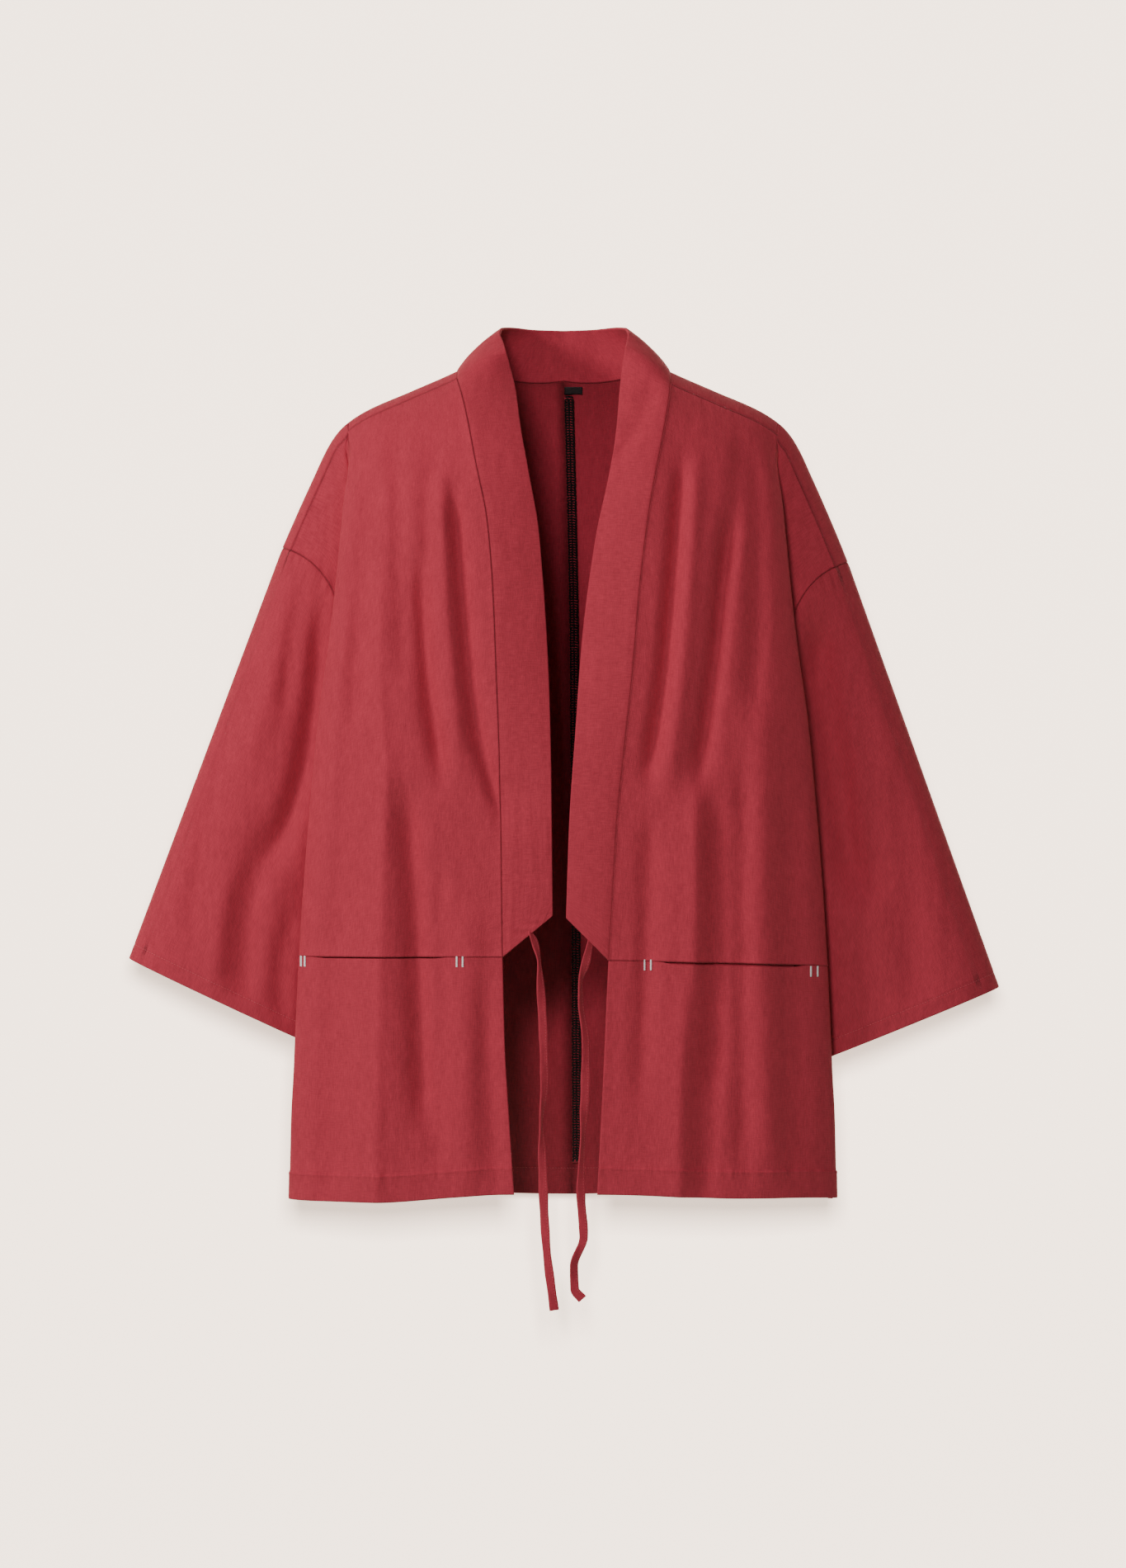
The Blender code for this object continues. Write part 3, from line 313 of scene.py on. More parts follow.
def curve_weights(t: Array, count: int) -> list[Array]:
    """Weights of count control points of a clamped cubic B-spline at t."""
    t = np.clip(np.asarray(t, float), 0.0, 1.0 - 1e-9)
    knots = np.concatenate([np.zeros(3), np.linspace(0, 1, count - 2), np.ones(3)])
    weights = [
        np.where((knots[i] <= t) & (t < knots[i + 1]), 1.0, 0.0) for i in range(len(knots) - 1)
    ]
    for degree in range(1, 4):
        for i in range(len(knots) - 1 - degree):
            left = knots[i + degree] - knots[i]
            right = knots[i + degree + 1] - knots[i + 1]
            value = np.zeros_like(t)
            if left > 0:
                value = value + (t - knots[i]) / left * weights[i]
            if right > 0:
                value = value + (knots[i + degree + 1] - t) / right * weights[i + 1]
            weights[i] = value
    return weights[:count]


def fold_depth(folds: Sequence[Fold], out: Array, z: Array) -> Array:
    """How far the folds move the cloth inward at a place.

    Args:
        folds: The panel's folds.
        out: Distance from the centre plane.
        z: Height.

    Returns:
        The inward distance, below 0 on a ridge.
    """
    moved = np.zeros(np.broadcast(out, z).shape)
    for fold in folds:
        heights = [fold.z_top, fold.z_mid, fold.z_low]
        line = Curve(heights, [fold.out_top, fold.out_mid, fold.out_low])
        from_top = ease((fold.z_top - z) / FOLD_FADE + 0.5)
        fade = from_top * ease((z - fold.z_low) / FOLD_FADE + 0.5)
        beside = out - line(z)
        away = np.abs(beside) / (fold.half_width * (1 + fold.skew * np.sign(beside)))
        crest = np.exp(0.10 - np.sqrt(away**2 + 0.01)) if fold.crisp else np.exp(-(away**2))
        moved = moved + FOLD_GAIN * fold.depth * fade * crest
    return moved


@dataclass(frozen=True)
class SideForm:
    """The sizes and the surfaces of the jacket's right or left half.

    Attributes:
        name: Right or left.
        sign: Of x on this half.
        armhole_out: How far out the armhole's top lies.
        armhole_z: Its height.
        cuff_out: How far out the cuff's top lies.
        cuff_z: Its height.
        cuff_slope: How many degrees the cuff falls inward.
        seam_in: From the ridge down to the shoulder seam.
        pocket_inner_z: Height of the pocket's seam at the collar.
        pocket_outer_z: Its height at the side.
        pocket_gape: Half the height of the pocket's open mouth.
        hem_inner_z: Height of the hem at the front edge.
        hem_middle_z: Its height in the middle.
        hem_outer_z: Its height at the side.
        pocket_span: How far out the mouth starts and ends.
        tack_out: How far out each bar tack lies.
        collar_seam: The collar's seam, out by height.
        free_edge: The collar's free edge, out by height.
        folds: The body's folds.
        sleeve_folds: The sleeve's folds.
    """

    name: str
    sign: int
    armhole_out: float
    armhole_z: float
    cuff_out: float
    cuff_z: float
    cuff_slope: float
    seam_in: float
    pocket_inner_z: float
    pocket_outer_z: float
    pocket_gape: float
    hem_inner_z: float
    hem_middle_z: float
    hem_outer_z: float
    pocket_span: tuple[float, float]
    tack_out: tuple[float, ...]
    collar_seam: Curve
    free_edge: Curve
    folds: dict[PanelFace, tuple[Fold, ...]]
    sleeve_folds: dict[PanelFace, tuple[Fold, ...]]

    def ring(self, turn: Array) -> tuple[Array, Array, Array]:
        """The armhole seam: turn is 0 at its top, pi at the underarm, + in front."""
        turn = np.asarray(turn, float)
        q = ARMHOLE_WIDTH / 2 * (1 - np.cos(turn))
        along = ARMHOLE_SLANT * (q / ARMHOLE_WIDTH) ** ARMHOLE_SLANT_POWER
        out = self.armhole_out - RING_COSINE * q + RING_SINE * along
        z = self.armhole_z - RING_SINE * q - RING_COSINE * along
        y = -np.sign(turn) * ARM_HALF_DEPTH * np.abs(np.sin(turn)) ** ARM_ROUNDING
        return out, y, z

    def cuff(self, turn: Array) -> tuple[Array, Array, Array]:
        """The sleeve's open end, turned like the armhole."""
        turn = np.asarray(turn, float)
        slope = math.radians(self.cuff_slope)
        q = CUFF_WIDTH / 2 * (1 - np.cos(turn))
        out = self.cuff_out - math.cos(slope) * q
        z = self.cuff_z - math.sin(slope) * q
        y = -np.sign(turn) * CUFF_HALF_DEPTH * np.abs(np.sin(turn)) ** ARM_ROUNDING
        return out, y, z

    @property
    def seam_turn(self) -> float:
        """Where on the armhole the shoulder seam ends."""
        return math.acos(1 - 2 * self.seam_in / ARMHOLE_WIDTH)

    def ring_turn_at(self, z: Array) -> Array:
        """The armhole's turn, 0 to pi, at height z."""
        turns = np.linspace(0, math.pi, 721)
        heights = self.ring(turns)[2]
        return np.interp(-np.asarray(z, float), -heights, turns)

    def inner_out(self, panel: PanelFace, z: Array) -> Array:
        """Where the panel's inner edge lies: collar seam or centre back."""
        if panel is PanelFace.BACK:
            return self.sign * BACK_SEAM_X(z)
        return self.collar_seam(z)

    def face_out(self, panel: PanelFace, share: Array, z: Array) -> Array:
        """How far out a column of the face lies at height z."""
        edge = EDGE_OUT(z)
        return edge - (edge - self.inner_out(panel, z)) * (1 - share) ** FACE_SPREAD

    def column_at(self, panel: PanelFace, out: Array, z: Array) -> Array:
        """The face column that lies a given distance out at height z."""
        edge = EDGE_OUT(z)
        share = np.clip((edge - out) / (edge - self.inner_out(panel, z)), 0, 1)
        return 1 - share ** (1 / FACE_SPREAD)

    @staticmethod
    def depth(panel: PanelFace, out: Array, z: Array) -> Array:
        """The body's depth at a place, rounded off under the shoulder's line."""
        rest = np.clip(1 - (np.abs(out) / EDGE_OUT(z)) ** FACE_POWER, 0, 1)
        side = SIDE_DEPTH[panel](z)
        full = side + (MID_DEPTH[panel](z) - side) * rest**DEPTH_POWER
        return full * rounding((RIDGE_Z(out) - z) / SHOULDER_DROP)

    def shoulder_top(self, panel: PanelFace, share: Array) -> Array:
        """Height at which a face column meets the shoulder seam, or the ridge behind."""
        below = 0.0 if panel is PanelFace.BACK else self.seam_in
        z = np.full(np.shape(share), -0.02)
        for _ in range(30):
            z = RIDGE_Z(self.face_out(panel, share, z)) - below
        return z

    def wrap_span(self, panel: PanelFace) -> tuple[float, float]:
        """Heights of the shoulder tip and of the armhole's start."""
        tip = float(self.shoulder_top(panel, np.array([1.0]))[0])
        turn = 0.0 if panel is PanelFace.BACK else self.seam_turn
        return tip, float(self.ring(turn)[2])

    def lateral(self, panel: PanelFace, z: Array) -> tuple[Array, Array]:
        """The wrap's outer end at height z: shoulder seam, armhole, then side seam."""
        back = panel is PanelFace.BACK
        tip, arm = self.wrap_span(panel)
        under = self.ring(math.pi)
        inward = 0.0 if back else self.seam_in
        arm_out, arm_y, _ = self.ring(-panel.sign * (0.0 if back else self.seam_turn))
        line_out = RIDGE_OUT(z) - inward / RIDGE_COSINE
        end_shift = arm_out - (RIDGE_OUT(arm) - inward / RIDGE_COSINE)
        share = np.clip((tip - z) / (tip - arm), 0, 1)
        near = np.ones(np.shape(z)) if back else ease((tip - z) / 0.015)
        edge = EDGE_OUT(z)
        seam_out = blend(edge, line_out + end_shift * share**2, near)
        seam_y = blend(self.depth(panel, edge, z) * panel.sign, float(arm_y), near)
        ring_out, ring_y, _ = self.ring(-panel.sign * self.ring_turn_at(z))
        side_out = blend(under[0], WALL_OUT(z) - 0.0015, ease((under[2] - z) / 0.030))
        out = np.where(z >= arm, seam_out, np.where(z >= under[2], ring_out, side_out))
        y = np.where(z >= arm, seam_y, np.where(z >= under[2], ring_y, 0.0))
        return out, y

    def wrap(self, panel: PanelFace, share: Array, z: Array) -> tuple[Array, Array]:
        """A place on the cloth between the body's edge and its lateral seam."""
        tip, arm = self.wrap_span(panel)
        under = float(self.ring(math.pi)[2])
        reach = np.clip((tip - z) / (tip - arm), 1e-6, 1.0)
        edge = EDGE_OUT(z)
        depth = self.depth(panel, edge, z)
        wall = WALL_OUT(z)
        end_out, end_y = self.lateral(panel, z)
        end_depth = np.abs(end_y)
        turned = self.ring_turn_at(z) > math.pi / 2
        first = blend(wall, end_out, 0.35)
        second = blend(wall, end_out, 0.80)

        def layer(out: Array, spare: float) -> Array:
            """Half the arm's depth that far out, near the seam no deeper than it by spare."""
            round_off = rounding(RIDGE_COSINE * (RIDGE_OUT(z) - out) / (ARMHOLE_WIDTH / 2))
            round_off = round_off**ARM_ROUNDING
            return np.minimum(ARM_HALF_DEPTH * round_off, np.where(turned, end_depth + spare, 1.0))

        low = ease((under + 0.050 - z) / 0.090)
        upper = (
            (edge, depth),
            (edge + 0.0005, depth - 0.0060),
            (edge - 0.0040, depth - 0.0115),
            (blend(edge, wall, 0.60), depth - 0.0125),
            (wall, depth - 0.0135),
            (wall - 0.0005, layer(wall, 0.014)),
            (first, layer(first, 0.008)),
            (second, layer(second, 0.004)),
            (end_out, end_depth),
        )
        lower = (
            (edge, depth),
            (edge + 0.0005, depth - 0.0065),
            (edge - 0.0060, depth - 0.0130),
            (blend(edge, wall, 0.40), depth - 0.0155),
            (blend(edge, wall, 0.75), depth - 0.0190),
            (blend(edge, wall, 0.98), 0.0270),
            (wall + 0.0005, 0.0180),
            (blend(wall, end_out, 0.90), 0.0080),
            (end_out, end_depth),
        )
        weights = curve_weights(np.clip(share / reach, 0.0, 1.0), len(upper))
        grown = ease((tip - z) / 0.060)
        out = np.zeros(np.shape(z))
        y = np.zeros(np.shape(z))
        for i, weight in enumerate(weights):
            straight = i / (len(upper) - 1)
            full_out = blend(upper[i][0], lower[i][0], low)
            full_y = blend(upper[i][1], lower[i][1], low)
            out += weight * blend(blend(edge, end_out, straight), full_out, grown)
            y += weight * blend(blend(depth, end_depth, straight), full_y, grown)
        return out, panel.sign * y

    def panel(self, panel: PanelFace, column: Array, z: Array) -> Array:
        """A place on a body panel.

        Args:
            panel: Front or back.
            column: 0 to 1 over the face, 1 to 2 on the cloth folded behind its edge.
            z: Height.

        Returns:
            Points, with x, y and z along the last axis.
        """
        column, z = np.broadcast_arrays(np.asarray(column, float), np.asarray(z, float))
        face = np.clip(column, 0, 1)
        out_face = self.face_out(panel, face, z)
        moved = fold_depth(self.folds[panel], out_face, z) * ease((1 - face) / SIDE_FADE)
        y_face = panel.sign * (self.depth(panel, out_face, z) - moved)
        out_wrap, y_wrap = self.wrap(panel, np.clip(column - 1, 0, 1), z)
        behind = column > 1
        x = self.sign * np.where(behind, out_wrap, out_face)
        return np.stack([x, np.where(behind, y_wrap, y_face), z], axis=-1)

    def panel_normal(self, panel: PanelFace, column: Array, z: Array) -> Array:
        """The outward direction at a place on a body panel."""
        here = self.panel(panel, column, z)
        across = self.panel(panel, column + COLUMN_STEP, z) - here
        down = self.panel(panel, column, z - HEIGHT_STEP) - here
        return unit(np.cross(across, down) * self.sign * panel.sign)

    def column_top(self, panel: PanelFace, columns: Array) -> Array:
        """Height of every column's upper end."""
        face = self.shoulder_top(panel, np.clip(columns, 0, 1))
        tip, arm = self.wrap_span(panel)
        return np.where(columns > 1, tip + (arm - tip) * np.clip(columns - 1, 0, 1), face)

    def pocket_height(self, columns: Array) -> Array:
        """Height of the seam across the front."""
        return blend(self.pocket_inner_z, self.pocket_outer_z, np.clip(columns, 0, 1))

    def hem_height(self, panel: PanelFace, columns: Array) -> Array:
        """Height of the hem."""
        inner = BACK_HEM_Z if panel is PanelFace.BACK else self.hem_inner_z
        middle = blend(inner, self.hem_middle_z, ease(np.clip(columns, 0, 1) / 0.45))
        return blend(middle, self.hem_outer_z, ease((np.clip(columns / 2, 0, 1) - 0.3) / 0.4))


RIGHT = SideForm(
    name="right",
    sign=-1,
    armhole_out=0.2545,
    armhole_z=-0.148,
    cuff_out=0.394,
    cuff_z=-0.521,
    cuff_slope=25.0,
    seam_in=0.009,
    pocket_inner_z=-0.5175,
    pocket_outer_z=-0.5180,
    pocket_gape=0.0006,
    hem_inner_z=-0.730,
    hem_middle_z=-0.7375,
    hem_outer_z=-0.7355,
    pocket_span=(0.0990, 0.2300),
    tack_out=(0.0895, 0.0948, 0.2318, 0.2352),
    collar_seam=Curve(
        [0.0040, -0.019, -0.077, -0.125, -0.183, -0.254, -0.368, -0.517, -0.598, -0.658, -0.740],
        [0.0955, 0.0890, 0.0775, 0.0680, 0.0630, 0.0600, 0.0560, 0.0540, 0.0520, 0.0485, 0.0430],
    ),
    free_edge=Curve(
        [0.030, -0.006, -0.0745, -0.141, -0.289, -0.480],
        [0.0520, 0.0430, 0.0314, 0.0203, 0.0115, 0.0092],
    ),
    folds={
        PanelFace.FRONT: (
            Fold(0.127, -0.170, 0.120, -0.272, 0.108, -0.350, 0.0072, 0.0085, 0.2),
            Fold(0.139, -0.380, 0.132, -0.464, 0.124, -0.660, 0.0072, 0.0115, 0.2),
            Fold(0.098, -0.104, 0.079, -0.305, 0.055, -0.392, 0.0058, 0.0085, -0.1),
            Fold(0.110, -0.095, 0.104, -0.224, 0.094, -0.340, -0.0035, 0.009),
            Fold(0.164, -0.188, 0.163, -0.288, 0.158, -0.350, -0.0034, 0.015, 0.0, True),
            Fold(0.157, -0.340, 0.163, -0.500, 0.168, -0.745, -0.0060, 0.020, 0.0, True),
            Fold(0.172, -0.085, 0.181, -0.200, 0.186, -0.300, 0.0035, 0.012),
            Fold(0.196, -0.440, 0.203, -0.560, 0.208, -0.740, 0.0030, 0.016),
            Fold(0.150, -0.060, 0.147, -0.150, 0.143, -0.260, 0.0026, 0.009),
            Fold(0.110, -0.440, 0.108, -0.560, 0.112, -0.700, 0.0024, 0.011, 0.3),
            Fold(0.070, -0.545, 0.066, -0.640, 0.060, -0.720, 0.0024, 0.010),
            Fold(0.116, -0.065, 0.122, -0.110, 0.118, -0.180, 0.0024, 0.008),
            Fold(0.083, -0.480, 0.086, -0.600, 0.088, -0.735, -0.0024, 0.012),
            Fold(0.182, -0.060, 0.196, -0.100, 0.206, -0.170, 0.0032, 0.008, 0.2),
            Fold(0.196, -0.200, 0.205, -0.330, 0.214, -0.440, -0.0022, 0.010),
        ),
        PanelFace.BACK: (
            Fold(0.120, -0.100, 0.124, -0.300, 0.116, -0.560, 0.0045, 0.015),
            Fold(0.062, -0.160, 0.070, -0.380, 0.078, -0.640, 0.0035, 0.017),
            Fold(0.094, -0.120, 0.098, -0.360, 0.104, -0.620, -0.0025, 0.015),
            Fold(0.166, -0.110, 0.172, -0.300, 0.160, -0.600, 0.0035, 0.014),
            Fold(0.180, -0.420, 0.190, -0.580, 0.196, -0.730, 0.0030, 0.015),
            Fold(0.140, -0.180, 0.146, -0.360, 0.140, -0.620, 0.0013, 0.009),
            Fold(0.034, -0.220, 0.040, -0.420, 0.036, -0.700, 0.0012, 0.010),
        ),
    },
    sleeve_folds={
        PanelFace.FRONT: (
            Fold(0.214, -0.190, 0.232, -0.330, 0.258, -0.430, 0.0070, 0.011),
            Fold(0.262, -0.400, 0.284, -0.480, 0.288, -0.560, 0.0060, 0.015, 0.2),
            Fold(0.242, -0.185, 0.262, -0.270, 0.284, -0.340, -0.0034, 0.013),
            Fold(0.232, -0.170, 0.246, -0.230, 0.252, -0.290, 0.0040, 0.009),
            Fold(0.300, -0.300, 0.322, -0.390, 0.338, -0.500, 0.0026, 0.010),
            Fold(0.248, -0.480, 0.256, -0.540, 0.258, -0.590, 0.0030, 0.011),
            Fold(0.300, -0.440, 0.312, -0.510, 0.318, -0.580, -0.0024, 0.010),
        ),
        PanelFace.BACK: (
            Fold(0.226, -0.210, 0.246, -0.340, 0.276, -0.460, 0.0045, 0.015),
            Fold(0.300, -0.330, 0.318, -0.430, 0.330, -0.530, 0.0035, 0.017),
            Fold(0.262, -0.240, 0.280, -0.340, 0.292, -0.430, 0.0014, 0.009),
        ),
    },
)
LEFT = SideForm(
    name="left",
    sign=1,
    armhole_out=0.2585,
    armhole_z=-0.161,
    cuff_out=0.396,
    cuff_z=-0.547,
    cuff_slope=22.0,
    seam_in=0.0135,
    pocket_inner_z=-0.5205,
    pocket_outer_z=-0.5270,
    pocket_gape=0.0013,
    hem_inner_z=-0.730,
    hem_middle_z=-0.7340,
    hem_outer_z=-0.7375,
    pocket_span=(0.0835, 0.2210),
    tack_out=(0.0730, 0.0790, 0.2225, 0.2285),
    collar_seam=Curve(
        [0.0040, -0.019, -0.061, -0.113, -0.183, -0.254, -0.335, -0.400, -0.467, -0.525,
         -0.625, -0.740],
        [0.0975, 0.0950, 0.0875, 0.0780, 0.0690, 0.0630, 0.0545, 0.0480, 0.0440, 0.0405,
         0.0360, 0.0300],
    ),
    free_edge=Curve(
        [0.030, -0.009, -0.0745, -0.142, -0.2385, -0.318, -0.400, -0.488],
        [0.0560, 0.0510, 0.0425, 0.0284, 0.0159, 0.0107, 0.0055, 0.0026],
    ),
    folds={
        PanelFace.FRONT: (
            Fold(0.107, -0.080, 0.091, -0.265, 0.078, -0.350, 0.0066, 0.0085),
            Fold(0.147, -0.130, 0.139, -0.224, 0.1225, -0.350, 0.0066, 0.0085),
            Fold(0.118, -0.080, 0.1075, -0.240, 0.094, -0.360, -0.0036, 0.010),
            Fold(0.119, -0.375, 0.118, -0.450, 0.117, -0.540, -0.0058, 0.018, 0.0, True),
            Fold(0.110, -0.550, 0.105, -0.620, 0.104, -0.745, -0.0055, 0.018, 0.0, True),
            Fold(0.136, -0.380, 0.138, -0.460, 0.134, -0.620, 0.0050, 0.012),
            Fold(0.132, -0.600, 0.128, -0.650, 0.126, -0.730, 0.0042, 0.014),
            Fold(0.078, -0.400, 0.076, -0.470, 0.070, -0.640, 0.0036, 0.010),
            Fold(0.180, -0.300, 0.180, -0.500, 0.186, -0.720, -0.0034, 0.016),
            Fold(0.162, -0.360, 0.160, -0.480, 0.162, -0.700, 0.0026, 0.010),
            Fold(0.170, -0.060, 0.174, -0.160, 0.170, -0.290, 0.0030, 0.010),
            Fold(0.158, -0.055, 0.156, -0.100, 0.150, -0.170, 0.0024, 0.008),
            Fold(0.204, -0.380, 0.206, -0.520, 0.206, -0.700, 0.0026, 0.014),
            Fold(0.190, -0.050, 0.197, -0.090, 0.204, -0.170, 0.0040, 0.008, 0.2),
        ),
        PanelFace.BACK: (
            Fold(0.112, -0.090, 0.118, -0.320, 0.126, -0.600, 0.0045, 0.015),
            Fold(0.050, -0.140, 0.058, -0.360, 0.052, -0.600, 0.0035, 0.018),
            Fold(0.086, -0.130, 0.088, -0.350, 0.084, -0.600, -0.0025, 0.014),
            Fold(0.158, -0.100, 0.166, -0.320, 0.172, -0.560, 0.0035, 0.014),
            Fold(0.192, -0.440, 0.186, -0.600, 0.180, -0.735, 0.0030, 0.015),
            Fold(0.140, -0.160, 0.146, -0.360, 0.150, -0.600, 0.0013, 0.009),
            Fold(0.026, -0.240, 0.030, -0.440, 0.028, -0.700, 0.0012, 0.010),
        ),
    },
    sleeve_folds={
        PanelFace.FRONT: (
            Fold(0.226, -0.215, 0.246, -0.340, 0.264, -0.460, 0.0125, 0.019),
            Fold(0.300, -0.360, 0.312, -0.460, 0.318, -0.560, 0.0032, 0.018),
            Fold(0.264, -0.260, 0.280, -0.360, 0.286, -0.460, 0.0020, 0.010),
        ),
        PanelFace.BACK: (
            Fold(0.230, -0.225, 0.248, -0.350, 0.270, -0.480, 0.0045, 0.015),
            Fold(0.292, -0.300, 0.318, -0.410, 0.326, -0.540, 0.0035, 0.017),
            Fold(0.266, -0.250, 0.286, -0.360, 0.300, -0.470, 0.0014, 0.009),
        ),
    },
)
SIDES = (RIGHT, LEFT)


def grid_quads(rows: int, columns: int, closed: bool = False) -> Array:
    """Corner indices of the faces of a grid of points stored row by row."""
    r = np.arange(rows - 1)[:, None]
    c = np.arange(columns if closed else columns - 1)[None, :]
    d = (c + 1) % columns
    parts = (r * columns + c, (r + 1) * columns + c, (r + 1) * columns + d, r * columns + d)
    return np.stack(parts, axis=-1).reshape(-1, 4)


@dataclass
class Cloth:
    """A surface of cloth as points in rows, with the thickness on either side of it.

    Attributes:
        grid: Points, rows by columns by 3.
        lay: Cloth coordinates in metres, rows by columns by 2.
        closed: Whether the columns run all the way round.
        outer: Thickness outside the surface.
        inner: Thickness inside it.
    """

    grid: Array
    lay: Array
    closed: bool = False
    outer: Array | float = CLOTH / 2
    inner: Array | float = CLOTH / 2

    @property
    def normals(self) -> Array:
        """Outward directions, by the order of the rows and columns."""
        down = np.gradient(self.grid, axis=0)
        if self.closed:
            across = np.roll(self.grid, -1, axis=1) - np.roll(self.grid, 1, axis=1)
        else:
            across = np.gradient(self.grid, axis=1)
        return unit(np.cross(down, across))

    def moved(self, distance: Array) -> Cloth:
        """The cloth moved outward by a distance at every point."""
        grid = self.grid + self.normals * distance[..., None]
        return Cloth(grid, self.lay, self.closed, self.outer, self.inner)

    @property
    def joined(self) -> Array:
        """The points, with the first column again at the end where it is closed."""
        if not self.closed:
            return self.grid
        return np.concatenate([self.grid, self.grid[:, :1]], axis=1)

    def width(self) -> float:
        """The widest row's length along the cloth."""
        return float(np.linalg.norm(np.diff(self.joined, axis=1), axis=2).sum(axis=1).max())

    def area(self) -> float:
        """The cloth's own area."""
        p = self.joined
        one = np.cross(p[1:, 1:] - p[:-1, :-1], p[1:, :-1] - p[:-1, 1:])
        return float(np.linalg.norm(one, axis=-1).sum() / 2)


def mesh_object(name: str, points: Array, quads: Array, uv: Array | None = None,
                values: dict[str, Array] | None = None) -> bpy.types.Object:
    """Links a mesh object.

    Args:
        name: The object's name.
        points: Its points.
        quads: Its faces' corners.
        uv: Cloth coordinates of the points.
        values: Named amounts at the points, for the material.

    Returns:
        The new object, shaded smooth.
    """
    mesh = bpy.data.meshes.new(name)
    faces = quads.tolist() if isinstance(quads, np.ndarray) else quads
    mesh.from_pydata(np.asarray(points, float).tolist(), [], faces)
    if uv is not None:
        layer = mesh.uv_layers.new(name="Cloth")
        corner = np.empty(len(mesh.loops), np.int32)
        mesh.loops.foreach_get("vertex_index", corner)
        layer.data.foreach_set("uv", np.asarray(uv, np.float32)[corner].reshape(-1))
    for key, value in (values or {}).items():
        attribute = mesh.attributes.new(key, "FLOAT", "POINT")
        attribute.data.foreach_set("value", np.asarray(value, np.float32).reshape(-1))
    mesh.attributes.new("sharp_face", "BOOLEAN", "FACE")
    obj = bpy.data.objects.new(name, mesh)
    bpy.context.scene.collection.objects.link(obj)
    return obj


def welded(points: Array, quads: Array) -> tuple[Array, Array]:
    """Joins points that share a place.

    Args:
        points: All points.
        quads: The faces' corners.

    Returns:
        Which points stay, and the faces on them, without those that shrink to a line.
    """
    keys = np.round(points / WELD_STEP).astype(np.int64)
    _, kept, index = np.unique(keys, axis=0, return_index=True, return_inverse=True)
    quads = index.reshape(-1)[quads]
    ordered = np.sort(quads, axis=1)
    return kept, quads[(ordered[:, 1:] != ordered[:, :-1]).all(axis=1)]


def face_areas(points: Array, quads: Array) -> Array:
    """Each face's direction, as long as twice its area."""
    corner = points[quads]
    return np.cross(corner[:, 2] - corner[:, 0], corner[:, 3] - corner[:, 1])


def open_border(quads: Array, count: int) -> Array:
    """The edges that only one face has, as pairs of point numbers below a count."""
    ends = np.concatenate([quads[:, [k, (k + 1) % 4]] for k in range(4)])
    code = ends[:, 0] * (count + 1) + ends[:, 1]
    back = ends[:, 1] * (count + 1) + ends[:, 0]
    return ends[~np.isin(code, back)]


def wall_mesh(name: str, sheets: Sequence[Cloth], flip: bool,
              values: Sequence[dict[str, Array]] | None = None) -> bpy.types.Object:
    """Builds pieces of cloth that share borders as one closed wall with round edges.

    Args:
        name: The object's name.
        sheets: The cloth, in pieces whose common borders hold the same points.
        flip: Whether the rows and columns make normals that point inside.
        values: Named amounts at each piece's points.

    Returns:
        The object.
    """
    points, lays, quads, outer, inner = [], [], [], [], []
    amounts: dict[str, list[Array]] = {}
    count = 0
    for i, sheet in enumerate(sheets):
        shape = sheet.grid.shape[:2]
        points.append(sheet.grid.reshape(-1, 3))
        lays.append(sheet.lay.reshape(-1, 2))
        quads.append(grid_quads(*shape, closed=sheet.closed) + count)
        outer.append(np.broadcast_to(sheet.outer, shape).reshape(-1))
        inner.append(np.broadcast_to(sheet.inner, shape).reshape(-1))
        for key, value in (values[i] if values else {}).items():
            amounts.setdefault(key, []).append(value.reshape(-1))
        count += shape[0] * shape[1]
    quad = np.concatenate(quads)
    kept, quad = welded(np.concatenate(points), quad[:, ::-1] if flip else quad)
    point, lay, out, within = (
        np.concatenate(part)[kept] for part in (points, lays, outer, inner)
    )
    face = face_areas(point, quad)
    normal = np.zeros_like(point)
    for k in range(4):
        np.add.at(normal, quad[:, k], face)
    normal = unit(normal)
    n = len(point)
    border = open_border(quad, n)
    at_edge = np.zeros(n, bool)
    at_edge[border.reshape(-1)] = True
    top = point + normal * out[:, None]
    low = point - normal * within[:, None]
    # The border's points stand nearer each other, which rounds the edge.
    half = (out + within)[:, None] / 2
    centre = (top + low) / 2
    top[at_edge] = (centre + normal * half * EDGE_SHARE)[at_edge]
    low[at_edge] = (centre - normal * half * EDGE_SHARE)[at_edge]
    a, b = border[:, 0], border[:, 1]
    rim = np.stack([b, a, a + n, b + n], axis=1)
    faces = np.concatenate([quad, quad[:, ::-1] + n, rim])
    every = {key: np.tile(np.concatenate(value)[kept], 2) for key, value in amounts.items()}
    every["Inside"] = np.repeat([0.0, 1.0], n)
    obj = mesh_object(name, np.concatenate([top, low]), faces, np.tile(lay, (2, 1)), every)
    # The narrow edge faces stay flat, so that both sides keep their own smooth shading.
    flat = np.zeros(len(faces), bool)
    flat[-len(rim):] = True
    obj.data.attributes["sharp_face"].data.foreach_set("value", flat)
    return obj


def spaced(*steps: tuple[float, float, int]) -> Array:
    """Places along a range, evenly spaced in parts: (start, end, how many) each."""
    parts = [np.linspace(start, end, count, endpoint=False) for start, end, count in steps]
    return np.concatenate([*parts, [steps[-1][1]]])


def lay_of(grid: Array) -> Array:
    """Cloth coordinates in metres: along the middle row, then down each column."""
    middle = grid[len(grid) // 2]
    u = lengths_along(middle)
    v = np.cumsum(np.linalg.norm(np.diff(grid, axis=0), axis=2), axis=0)
    v = np.concatenate([np.zeros((1, grid.shape[1])), v])
    return np.stack([np.broadcast_to(u, v.shape), v], axis=-1)


